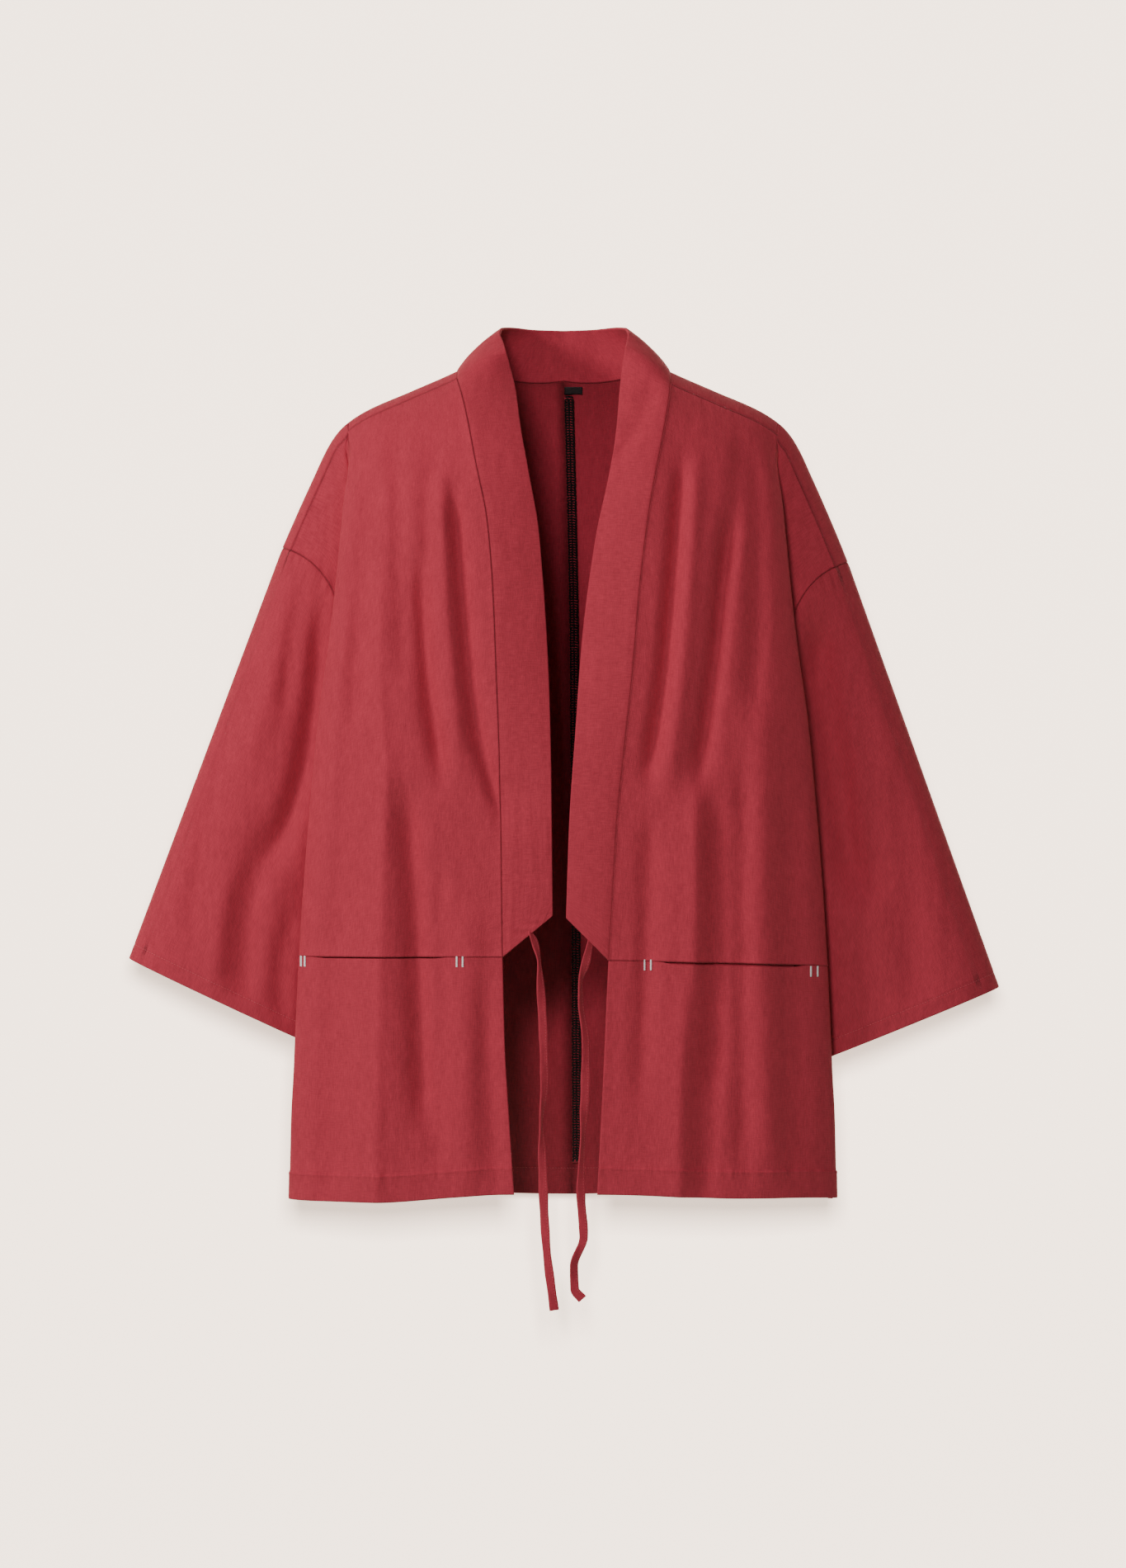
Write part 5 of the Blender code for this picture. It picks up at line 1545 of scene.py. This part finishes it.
@dataclass
class Workroom:
    """Keeps the finishes and places every finished piece.

    Attributes:
        cloth: The red cloth.
        band: The collar's cloth, crinkled less.
        sewing: The red sewing thread.
        white: The bar tacks' thread.
        black: The overlock thread.
        tape: The label's tape.
    """

    cloth: bpy.types.Material
    band: bpy.types.Material
    sewing: bpy.types.Material
    white: bpy.types.Material
    black: bpy.types.Material
    tape: bpy.types.Material

    def place(self, obj: bpy.types.Object, finish: bpy.types.Material, *nodes: str,
              slot: str = "") -> bpy.types.Object:
        """Dresses a piece, lets it ride, and lets it stand for its nodes.

        Args:
            obj: The piece.
            finish: Its material.
            nodes: The solids that it replaces.
            slot: The record's material that a piece of no solid would take; not used.

        Returns:
            The piece.
        """
        obj.data.materials.clear()
        obj.data.materials.append(finish)
        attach(obj, "root")
        if nodes:
            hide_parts(*nodes)
        LOG.info("%s: %d faces", obj.name, len(obj.data.polygons))
        return obj

    def hang(self, node: str, cloth: Sequence[Cloth], flip: bool,
             values: Sequence[dict[str, Array]], finish: bpy.types.Material | None = None,
             trim: Sequence[bpy.types.Object] = ()) -> None:
        """Makes a sheet and states its flat size, measured over its own surface.

        Args:
            node: The solid that it replaces.
            cloth: Its surfaces.
            flip: Whether their rows and columns give normals that point inside.
            values: Painted seam shade and gather amounts at each surface's points.
            finish: Its material, if it isn't the red cloth.
            trim: Separate pieces sewn on it; not used.
        """
        obj = wall_mesh(f"{node}_cloth", cloth, flip, values)
        self.place(obj, finish or self.cloth, node)
        area = sum(piece.area() for piece in cloth)
        down = float(border_distance(cloth[0].grid)[0][-1].max())
        flat = (round(cloth[0].width(), 3), round(down, 3))
        LOG.info("%s cut %s, area %.4f", obj.name, flat, area)


def no_seams(z: Array) -> dict[str, Array]:
    """Painted seam shade and gather amounts of plain cloth, for points of this shape."""
    return {key: np.zeros(z.shape) for key in ("Seam", "Gather Down", "Gather Across")}


def seam_shade_amount(*near: Array, reach: float = 0.0009) -> Array:
    """How much painted shade darkens the cloth along seams, from the distances to its lines."""
    amount = np.zeros_like(near[0])
    for distance in near:
        amount = np.maximum(amount, mound(distance, reach))
    return amount


@dataclass
class BodySide:
    """The front, back and sleeve of one side.

    Attributes:
        side: The half's form.
        room: Finishes and placing.
        ditch: How far a seam sinks.
        ditch_reach: How wide that is.
        pucker: Height of the sleeve's gathers under the armhole seam.
        stitches: The topstitching's thread.
        trim: Pieces sewn on the back.
    """

    side: SideForm
    room: Workroom
    ditch: float = 0.00075
    ditch_reach: float = 0.0016
    pucker: float = 0.0009
    stitches: StitchStyle = StitchStyle()
    trim: Sequence[bpy.types.Object] = ()

    @property
    def flip(self) -> bool:
        """Whether rows and columns give a normal that points inside."""
        return self.side.sign > 0

    @property
    def facing(self) -> float:
        """Turns the stored normals outward on a front or a sleeve."""
        return -1.0 if self.flip else 1.0

    def sunk(self, *near: Array) -> Array:
        """How far seams at these distances sink the cloth."""
        return -self.ditch * sum(np.exp(-distance / self.ditch_reach) for distance in near)

    def front_upper(self) -> Cloth:
        """The front above the pocket's seam."""
        side = self.side
        grid = front_upper_grid(side)
        top, bottom, first, last = border_distance(grid)
        cloth = Cloth(grid, lay_of(grid)).moved(self.facing * self.sunk(top, bottom, first, last))
        values = {
            # Seam: painted shade along the panel's seams.
            "Seam": seam_shade_amount(top, bottom, first, last),
            "Gather Down": 0.5 * mound(bottom, 0.006) + 0.35 * mound(top, 0.006),
            "Gather Across": 0.55 * mound(first, 0.008) + 0.5 * mound(last, 0.006),
        }
        self.room.hang(f"front_upper_{side.name}", [cloth], self.flip, [values])
        return cloth

    def front_lower(self) -> Cloth:
        """The front below the pocket's seam, with its folded hem."""
        side = self.side
        grid = front_lower_grid(side)
        top, bottom, first, last = border_distance(grid)
        inner, line = HEM.form(bottom)
        cloth = Cloth(grid, lay_of(grid), inner=inner)
        cloth = cloth.moved(self.facing * (self.sunk(last) - 0.00035 * line))
        values = {
            # Seam: painted shade along the side seam and, fainter, along the hem's stitch line.
            "Seam": np.maximum(seam_shade_amount(last), 0.12 * line),
            "Gather Down": 0.4 * mound(top, 0.007) + 0.6 * mound(bottom - HEM.stitch_up, 0.007),
            "Gather Across": 0.55 * mound(first, 0.007),
        }
        self.room.hang(f"front_lower_{side.name}", [cloth], self.flip, [values])
        return cloth

    def back(self) -> tuple[Cloth, Cloth]:
        """The back with the strip that runs over the shoulder to the front's seam."""
        side = self.side
        grid, strip = back_grids(side)
        strip[0] = front_upper_grid(side)[0]
        strip[-1] = grid[0, NECK_STEPS:]
        top, bottom, first, last = border_distance(grid)
        inner, line = HEM.form(bottom)
        neck = top + np.where(np.arange(grid.shape[1]) < NECK_STEPS, 0.0, 1.0)[None]
        main = Cloth(grid, lay_of(grid), inner=inner)
        piece = Cloth(strip, lay_of(strip) - np.array([0.0, 0.012]))
        rise = border_distance(strip)
        values = {
            # Seam: painted shade along the back's seams and, fainter, along the hem's stitch line.
            "Seam": np.maximum(seam_shade_amount(neck, first, last), 0.12 * line),
            "Gather Down": 0.6 * mound(bottom - HEM.stitch_up, 0.007),
            "Gather Across": 0.5 * mound(first, 0.008),
        }
        over = {
            # Seam: painted shade along the strip's seams.
            "Seam": seam_shade_amount(rise[0], rise[2], rise[3]),
            "Gather Down": 0.3 * mound(rise[0], 0.006),
            "Gather Across": np.zeros_like(rise[0]),
        }
        self.room.hang(f"back_{side.name}", [main, piece], not self.flip, [values, over],
                       trim=self.trim)
        return main, piece

    def puckers(self, armhole: Array, down: Array) -> Array:
        """Height of the gathers round the armhole's points, fading down from its seam."""
        along = np.cumsum(np.linalg.norm(np.diff(armhole, axis=0, append=armhole[:1]), axis=1))
        wave = np.sin(2 * math.pi * (along / 0.0125 + 0.35 * np.sin(along / 0.021)))
        wave = wave + 0.6 * np.sin(2 * math.pi * along / 0.031 + 1.0)
        return self.pucker * wave[None] * (ease(down / 0.003) * np.exp(-down / 0.016))

    def sleeve(self) -> Cloth:
        """The sleeve, gathered a little under the armhole's seam."""
        side = self.side
        grid, turns = sleeve_grid(side)
        top, bottom, _, _ = border_distance(grid)
        move = self.sunk(top) + self.puckers(grid[0], top) * (np.abs(np.sin(turns)) ** 0.6)[None]
        inner, line = CUFF.form(bottom)
        move = move - 0.0003 * line
        cloth = Cloth(grid, lay_of(grid), closed=True, inner=inner)
        cloth = cloth.moved(self.facing * move)
        values = {
            # Seam: painted shade along the armhole seam and, fainter, along the cuff's stitch line.
            "Seam": np.maximum(seam_shade_amount(top), 0.12 * line),
            "Gather Down": 0.8 * mound(top, 0.014) + 0.5 * mound(bottom - CUFF.stitch_up, 0.005),
            "Gather Across": np.zeros_like(top),
        }
        self.room.hang(f"sleeve_{side.name}", [cloth], self.flip, [values])
        return cloth

    def sewing(self, upper: Cloth, lower: Cloth, back: Cloth, strip: Cloth, sleeve: Cloth) -> None:
        """The rows of stitches that show on the cloth's outside."""
        side = self.side
        lift = CLOTH / 2 + self.stitches.radius * 0.25
        edge = seam_line(upper, self.flip, Border.FIRST, EDGE_STITCH_IN, lift)
        edge_low = seam_line(lower, self.flip, Border.FIRST, EDGE_STITCH_IN, lift)
        hem = seam_line(lower, self.flip, Border.BOTTOM, HEM.stitch_up, lift)
        pocket = seam_line(lower, self.flip, Border.TOP, POCKET_STITCH_DOWN, lift)
        pocket = pocket[: int(np.searchsorted(COLUMNS, 1.0))]
        hem_back = seam_line(back, not self.flip, Border.BOTTOM, HEM.stitch_up, lift)
        cuff = seam_line(sleeve, self.flip, Border.BOTTOM, CUFF.stitch_up, lift)
        shoulder = seam_line(strip, not self.flip, Border.TOP, SHOULDER_STITCH_IN, lift)
        round_cuff = unit(cuff - cuff.mean(axis=0))
        lines = [edge, edge_low, hem, pocket, hem_back, np.concatenate([cuff, cuff[:1]]), shoulder]
        faces = [*[FORWARD] * 4, -FORWARD, np.concatenate([round_cuff, round_cuff[:1]]),
                 np.array([0.0, -0.5, 0.85])]
        obj = self.stitches.sew(f"topstitching_{side.name}", lines, faces)
        self.room.place(obj, self.room.sewing, slot=f"front_upper_{side.name}")

    def build(self) -> tuple[Cloth, Cloth]:
        """Every piece of this side; returns the back and its strip."""
        upper = self.front_upper()
        lower = self.front_lower()
        back, strip = self.back()
        sleeve = self.sleeve()
        self.sewing(upper, lower, back, strip, sleeve)
        return back, strip


@dataclass
class Collar:
    """The band round the neck and down both fronts.

    Attributes:
        room: Finishes and placing.
        crinkle: Depth of the small crosswise creases low on the right half.
        roll: Depth of the soft roll high on the left half.
        recess: How far the free edge sinks behind the seam along the chest.
        ditch: How far the seam sinks.
        ditch_reach: How wide that is.
        join_z: Height of the band's own join on the left half.
    """

    room: Workroom
    crinkle: float = 0.0007
    roll: float = 0.0030
    recess: float = 0.0085
    ditch: float = 0.0007
    ditch_reach: float = 0.0015
    join_z: float = -0.383

    def creases(self, z: Array, share: Array) -> Array:
        """Height of small crosswise creases over the band."""
        wave = np.sin(2 * math.pi * (z / 0.0105 + 0.30 * np.sin(z / 0.013) + 0.25 * share))
        return self.crinkle * (wave * (0.55 + 0.45 * np.sin(z / 0.0078 + 1.3)))

    def rolling(self, z: Array, share: Array) -> Array:
        """Depth of the soft roll, which leans toward the free edge as it comes down."""
        place = 0.40 + 0.55 * np.clip((z + 0.020) / -0.055, 0, 1)
        rolled = mound(share - place, 0.22) * ease((z + 0.085) / 0.030)
        return self.roll * (rolled * ease((0.012 - z) / 0.020))

    def build(self) -> None:
        """The band as one thick wall."""
        grid = collar_grid()
        seam, free, _, _ = border_distance(grid)
        x, z = grid[..., 0], grid[..., 2]
        in_front = grid[..., 1] < 0
        share = seam / np.maximum(seam + free, 1e-6)
        low = ease((-0.330 - z) / 0.04) * (x < 0)
        chest = ease((z + 0.37) / 0.15) * ease(-z / 0.06) * in_front
        line = mound(z - self.join_z, 0.0011) * (x > 0) * in_front
        move = self.creases(z, share) * low * mound(share - 0.42, 0.42)
        move = move - self.rolling(z, share) * (x > 0) - self.recess * share * chest
        move = move - self.ditch * np.exp(-seam / self.ditch_reach)
        move = move - 0.0003 * line
        cloth = Cloth(grid, lay_of(grid), outer=BAND_CLOTH / 2, inner=BAND_CLOTH / 2)
        cloth = cloth.moved(move)
        values = {
            # Seam: painted shade along the collar's seam and, fainter, along its own join.
            "Seam": np.maximum(seam_shade_amount(seam, reach=0.0010), 0.25 * line),
            "Gather Down": np.zeros_like(seam),
            "Gather Across": 0.30 * mound(seam, 0.010) + 0.45 * low,
        }
        self.room.hang("collar", [cloth], False, [values], finish=self.room.band)


@dataclass
class PocketMouth:
    """The bar tacks at the ends of a pocket's mouth and the bag behind it.

    Attributes:
        side: The half that it belongs to.
        room: Finishes and placing.
        tack_width: Across a tack.
        tack_height: Down a tack.
        threads: In a tack.
    """

    side: SideForm
    room: Workroom
    tack_width: float = 0.0017
    tack_height: float = 0.0090
    threads: int = 17

    def tack(self, number: int, out: float) -> None:
        """A bar tack: short threads laid side by side."""
        side = self.side
        drop = (side.pocket_inner_z - side.pocket_outer_z) * (number > 2)
        middle = side.pocket_inner_z - 0.004 - drop
        lift = CLOTH / 2 + 0.0006
        lines, faces = [], []
        half = self.tack_width / 2
        for z in np.linspace(middle - self.tack_height / 2, middle + self.tack_height / 2,
                             self.threads):
            outs = np.linspace(out - half, out + half, 3)
            heights = z + np.array([-0.00010, 0.0, 0.00010])
            lines.append(on_face(side, PanelFace.FRONT, outs, heights, lift))
            faces.append(FORWARD)
        style = StitchStyle(pitch=0.01, radius=0.00030, share=1.0, sides=8)
        name = f"bar_tack_{side.name}_{number}"
        obj = style.sew(f"{name}_thread", lines, faces)
        self.room.place(obj, self.room.white, name)

    def bag(self) -> None:
        """The pocket's bag, hanging inside the front."""
        side = self.side
        inner, outer = side.pocket_span
        columns = np.linspace(inner + 0.004, outer - 0.012, 40)[None, :]
        heights = np.linspace(side.pocket_inner_z + 0.012, side.pocket_inner_z - 0.165, 46)[:, None]
        out, z = np.broadcast_arrays(columns, heights)
        deep = blend(0.0026, 0.0040, ease((side.pocket_inner_z + 0.012 - z) / 0.05))
        column = side.column_at(PanelFace.FRONT, out, z)
        point = side.panel(PanelFace.FRONT, column, z)
        point = point - side.panel_normal(PanelFace.FRONT, column, z) * deep[..., None]
        cloth = Cloth(point, lay_of(point))
        self.room.hang(f"pocket_bag_{side.name}", [cloth], side.sign > 0, [no_seams(z)])

    def build(self) -> None:
        """The tacks and the bag."""
        for number, out in enumerate(self.side.tack_out, start=1):
            self.tack(number, out)
        self.bag()


@dataclass
class CentreBack:
    """The seam allowance down the inside of the back, its overlocking and the label.

    Attributes:
        room: Finishes and placing.
        gap: Between the seam and the allowance.
        width: Across the allowance.
        top: Height of its upper end.
        low: Height of its lower end.
        label_out: From the middle to the label's near end.
        label_width: Across the label.
        label_top: Height of its upper edge.
        label_height: Down the label.
        trim: The pieces made so far.
    """

    room: Workroom
    gap: float = 0.0004
    width: float = 0.0080
    top: float = -0.006
    low: float = -0.712
    label_out: float = 0.0014
    label_width: float = 0.0165
    label_top: float = 0.0030
    label_height: float = 0.0065
    trim: list[bpy.types.Object] = field(default_factory=list)

    def across(self, z: Array, share: Array | float) -> Array:
        """Where a share of the allowance's width lies, out from the seam's middle."""
        return BACK_SEAM_X(z) + self.gap + self.width * share

    def inside(self, out: Array, z: Array, deep: Array | float) -> Array:
        """A place inside the back, deep in front of its middle surface."""
        column = LEFT.column_at(PanelFace.BACK, out, z)
        point = LEFT.panel(PanelFace.BACK, column, z)
        way = LEFT.panel_normal(PanelFace.BACK, column, z)
        return point - way * np.reshape(np.asarray(deep) * np.ones(np.shape(z)), (*np.shape(z), 1))

    def allowance(self) -> None:
        """The folded allowance as a narrow strip of cloth."""
        share = np.linspace(0, 1, 9)[None, :]
        heights = np.linspace(self.top, self.low, 260)[:, None]
        share, z = np.broadcast_arrays(share, heights)
        out = self.across(z, share)
        wave = 0.00035 * np.sin(z / 0.0065) * share**2
        point = self.inside(out, z, CLOTH + 0.0016 + wave)
        cloth = Cloth(point, lay_of(point), outer=0.0006, inner=0.0006)
        obj = wall_mesh("back_seam_allowance_cloth", [cloth], False, [no_seams(z)])
        self.trim.append(self.room.place(obj, self.room.cloth, "back_seam_allowance"))

    def overlock(self) -> None:
        """Black loops over the allowance's edge, needle threads beside them."""
        step = 0.0024
        rungs = np.arange(self.top + 0.001, self.low + 0.003, -step)
        lines, faces = [], []
        for z in rungs:
            share = np.array([0.10, 0.35, 0.65, 0.92, 1.03])
            heights = z + np.array([0.0, 0.0004, 0.0005, 0.0001, -0.0006])
            out = self.across(heights, share)
            lines.append(self.inside(out, heights, CLOTH + 0.0026))
            faces.append(FORWARD)
        for share in (0.10, 0.52, 0.97):
            heights = np.linspace(self.top - 0.001, self.low + 0.001, 420)
            weave = 0.00035 * np.sin(heights / step * 2 * math.pi)
            out = self.across(heights, share) + weave
            lines.append(self.inside(out, heights, CLOTH + 0.00275))
            faces.append(FORWARD)
        style = StitchStyle(pitch=0.0028, radius=0.00085, share=1.04, sides=4)
        obj = style.sew("overlock_back", lines, faces)
        self.trim.append(self.room.place(obj, self.room.black, slot="neck_label"))

    def label(self) -> None:
        """A small blank tape under the neck seam."""
        share = np.linspace(0, 1, 25)[None, :]
        fall = np.linspace(0, 1, 11)[:, None]
        share, fall = np.broadcast_arrays(share, fall)
        out = self.label_out + self.label_width * share
        z = self.label_top - self.label_height * fall
        point = self.inside(out, z, CLOTH + 0.0007 + 0.0003 * np.sin(share * 7) * fall)
        cloth = Cloth(point, lay_of(point), outer=0.00028, inner=0.00028)
        obj = wall_mesh("neck_label_tape", [cloth], False)
        self.trim.append(self.room.place(obj, self.room.tape, "neck_label"))

    def build(self) -> list[bpy.types.Object]:
        """The allowance, its threads and the label."""
        self.allowance()
        self.overlock()
        self.label()
        return self.trim


@dataclass
class Tie:
    """A flat tie of folded cloth that hangs free.

    Attributes:
        side: The half that it belongs to.
        room: Finishes and placing.
        width: Across the ribbon.
        thick: Through it.
        stations: Points along it.
    """

    side: SideForm
    room: Workroom
    width: float = 0.0080
    thick: float = 0.0018
    stations: int = 220

    def ribbon(self) -> tuple[Array, Array, Array]:
        """Centre line and the ribbon's two directions."""
        centre, turn = tie_centre(self.side.name, self.stations)
        tangent = unit(np.gradient(centre, axis=0))
        angle = np.radians(turn)
        across = np.stack([np.cos(angle), np.sin(angle), np.zeros(len(angle))], axis=-1)
        across = unit(across - tangent * np.sum(across * tangent, axis=1, keepdims=True))
        return centre, across, np.cross(tangent, across)

    def build(self) -> None:
        """The ribbon with its folded edges, and the stitches that close it."""
        centre, across, flat = self.ribbon()
        half, deep = self.width / 2, self.thick / 2
        outline = np.array([
            (half, 0.0), (half * 0.97, deep * 0.55), (half * 0.86, deep * 0.90),
            (half * 0.60, deep), (half * 0.52, deep * 0.72), (half * 0.40, deep * 0.96),
            (0.0, deep * 0.90), (-half * 0.6, deep), (-half * 0.90, deep * 0.85),
            (-half, deep * 0.3), (-half, -deep * 0.3), (-half * 0.90, -deep * 0.85),
            (-half * 0.6, -deep), (0.0, -deep * 0.90), (half * 0.40, -deep * 0.96),
            (half * 0.52, -deep * 0.72), (half * 0.60, -deep), (half * 0.86, -deep * 0.90),
            (half * 0.97, -deep * 0.55),
        ])
        along = np.linspace(0, 1, self.stations)
        width = 1 - 0.05 * np.sin(along * 61) - 0.04 * np.sin(along * 23 + 1)
        name = f"tie_{self.side.name}"
        obj = tube(f"{name}_cloth", centre, across, flat, outline, width)
        self.room.place(obj, self.room.cloth, name)
        lines, faces = [], []
        for sign in (1.0, -1.0):
            line = centre + across * (half * 0.52 * width[:, None])
            line = line + flat * (sign * deep * 0.80)
            lines.append(line[3:-3])
            faces.append(flat[3:-3] * sign)
        style = StitchStyle(pitch=0.0026, radius=0.00024, share=0.74)
        sewn = style.sew(f"tie_stitches_{self.side.name}", lines, faces)
        self.room.place(sewn, self.room.sewing, slot=name)


@dataclass(frozen=True)
class Softbox:
    """A soft studio light: where it stands, what it faces, its size and strength."""

    name: str
    place: tuple[float, float, float]
    size: float
    power: float
    aim: tuple[float, float, float] = (0.0, 0.0, -0.40)
    on_paper: bool = False

    def hang(self, paper: bpy.types.Collection, rest: bpy.types.Collection) -> None:
        """Adds the light.

        Args:
            paper: The backdrop alone.
            rest: Everything but the backdrop.
        """
        data = bpy.data.lights.new(self.name, "AREA")
        data.energy = self.power
        data.size = self.size
        lamp = bpy.data.objects.new(self.name, data)
        lamp.light_linking.receiver_collection = paper if self.on_paper else rest
        if not self.on_paper:
            lamp.light_linking.blocker_collection = rest
        lamp.location = self.place
        way = Vector(self.aim) - Vector(self.place)
        lamp.rotation_euler = way.to_track_quat("-Z", "Y").to_euler()
        bpy.context.scene.collection.objects.link(lamp)


@dataclass
class Studio:
    """The pale backdrop, the lights and the camera of the photograph.

    Attributes:
        distance: From the lens to the neck.
        height: Of the lens.
        lens: Focal length in millimetres.
        backdrop_y: Where the wall behind the jacket stands.
        far_y: Where the wall behind the lens stands.
        ceiling: Top of both walls.
        floor: Height of the floor.
        bend: Radius between wall and floor.
        half_width: From the middle to the backdrop's edge.
        paper: Its colour.
        glow: Colour of its own light.
        glow_strength: Strength of its own light.
        ambient: Strength of the soft light all round.
        lights: The lamps.
    """

    distance: float = 6.08
    height: float = -0.3626
    lens: float = 153.6
    backdrop_y: float = 0.140
    far_y: float = -9.0
    ceiling: float = 3.0
    floor: float = -1.75
    bend: float = 0.7
    half_width: float = 6.0
    paper: Colour = (0.80, 0.64, 0.52)
    glow: Colour = (1.0, 0.80, 0.65)
    glow_strength: float = 1.58
    ambient: float = 0.10
    lights: tuple[Softbox, ...] = (
        Softbox("key", (-3.35, -1.70, 1.15), 0.8, 102.0),
        Softbox("front", (-0.62, -3.88, 0.90), 0.8, 82.0),
        Softbox("behind", (1.60, 4.10, 0.20), 0.8, 80.0),
        Softbox("paper", (0.0, -5.6, 0.15), 0.7, 1140.0, (0.0, 0.14, -0.40), True),
    )

    def camera(self) -> None:
        """A long lens straight in front."""
        data = bpy.data.cameras.new("camera")
        data.sensor_fit = "VERTICAL"
        data.sensor_height = 36.0
        data.lens = self.lens
        data.clip_end = 50.0
        obj = bpy.data.objects.new("camera", data)
        obj.location = (0.0, -self.distance, self.height)
        obj.rotation_euler = (math.pi / 2, 0.0, 0.0)
        bpy.context.scene.collection.objects.link(obj)
        bpy.context.scene.camera = obj

    def backdrop(self) -> bpy.types.Object:
        """A wall close behind the jacket, a floor and a far wall, all seen only from inside."""
        radius = self.bend
        bend_y, bend_z = self.backdrop_y - radius, self.floor + radius
        profile = [(self.backdrop_y, self.ceiling)]
        profile += [(bend_y + radius * math.cos(turn), bend_z - radius * math.sin(turn))
                    for turn in np.linspace(0, math.pi / 2, 17)]
        profile += [(self.far_y, self.floor), (self.far_y, self.ceiling)]
        points = [(x, y, z) for y, z in profile for x in (-self.half_width, self.half_width)]
        quads = [(2 * i, 2 * i + 2, 2 * i + 3, 2 * i + 1) for i in range(len(profile) - 1)]
        obj = mesh_object("backdrop", points, quads)
        paper, nodes, links, shader = new_material("studio_paper", self.paper)
        place = nodes.new("ShaderNodeTexCoord")
        noise = nodes.new("ShaderNodeTexNoise")
        noise.inputs["Scale"].default_value = 900.0
        ramp = nodes.new("ShaderNodeMapRange")
        ramp.inputs["To Min"].default_value = 0.88
        ramp.inputs["To Max"].default_value = 0.94
        links.new(place.outputs["Object"], noise.inputs["Vector"])
        links.new(noise.outputs["Fac"], ramp.inputs["Value"])
        links.new(ramp.outputs["Result"], shader.inputs["Roughness"])
        shader.inputs["Emission Strength"].default_value = self.glow_strength
        shader.inputs["Base Color"].default_value = (*self.paper, 1.0)
        shader.inputs["Emission Color"].default_value = (*self.glow, 1.0)
        side = nodes.new("ShaderNodeNewGeometry")
        clear = nodes.new("ShaderNodeBsdfTransparent")
        either = nodes.new("ShaderNodeMixShader")
        links.new(side.outputs["Backfacing"], either.inputs[0])
        links.new(shader.outputs["BSDF"], either.inputs[1])
        links.new(clear.outputs["BSDF"], either.inputs[2])
        links.new(either.outputs["Shader"], nodes["Material Output"].inputs["Surface"])
        obj.data.materials.append(paper)
        obj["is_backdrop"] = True
        return obj

    def build(self) -> None:
        """The camera, lights, backdrop and the soft light all round."""
        self.camera()
        wall = self.backdrop()
        paper, rest = (bpy.data.collections.new(name) for name in ("paper_only", "all_but_paper"))
        paper.objects.link(wall)
        rest.objects.link(wall)
        rest.collection_objects[0].light_linking.link_state = "EXCLUDE"
        # The paper's own light stays off the cloth, as if it were far behind.
        wall.visible_diffuse = False
        for light in self.lights:
            light.hang(paper, rest)
        world = bpy.data.worlds.new("studio")
        world.use_nodes = True
        shade = world.node_tree.nodes["Background"]
        shade.inputs["Color"].default_value = (1.0, 0.98, 0.97, 1.0)
        shade.inputs["Strength"].default_value = self.ambient
        bpy.context.scene.world = world


def main() -> None:
    """Builds every piece of the jacket and its studio, in order."""
    logging.basicConfig(level=logging.INFO, format="%(message)s")
    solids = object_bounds()
    woven, thread = woven_surface(), spun_thread()
    threads = {
        "sewing": ThreadFinish("red_thread", (0.62, 0.105, 0.130), (0.44, 0.045, 0.065)),
        "white": ThreadFinish("white_thread", (0.96, 0.93, 0.90), (0.80, 0.76, 0.72)),
        "black": ThreadFinish("black_thread", (0.014, 0.010, 0.011), (0.004, 0.003, 0.003)),
        "tape": ThreadFinish("black_tape", (0.016, 0.014, 0.017), (0.006, 0.005, 0.006), 0.5),
    }
    room = Workroom(
        cloth=ClothFinish().material(woven),
        band=ClothFinish(name="red_cotton_band", crinkle=0.00035).material(woven),
        **{use: finish.material(thread) for use, finish in threads.items()},
    )
    Studio().build()
    for side in SIDES:
        Tie(side, room).build()
    trim = CentreBack(room).build()
    BodySide(RIGHT, room).build()
    BodySide(LEFT, room, trim=trim).build()
    Collar(room).build()
    for side in SIDES:
        PocketMouth(side, room).build()
    sizes = {"cad": solids, "visual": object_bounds()}
    json.dumps({key: plain(value) for key, value in sizes.items()})


def plain(value: object) -> object:
    """Nested numbers as plain lists."""
    if hasattr(value, "__len__"):
        return [plain(item) for item in value]
    return float(value)


if __name__ == "__main__":
    main()
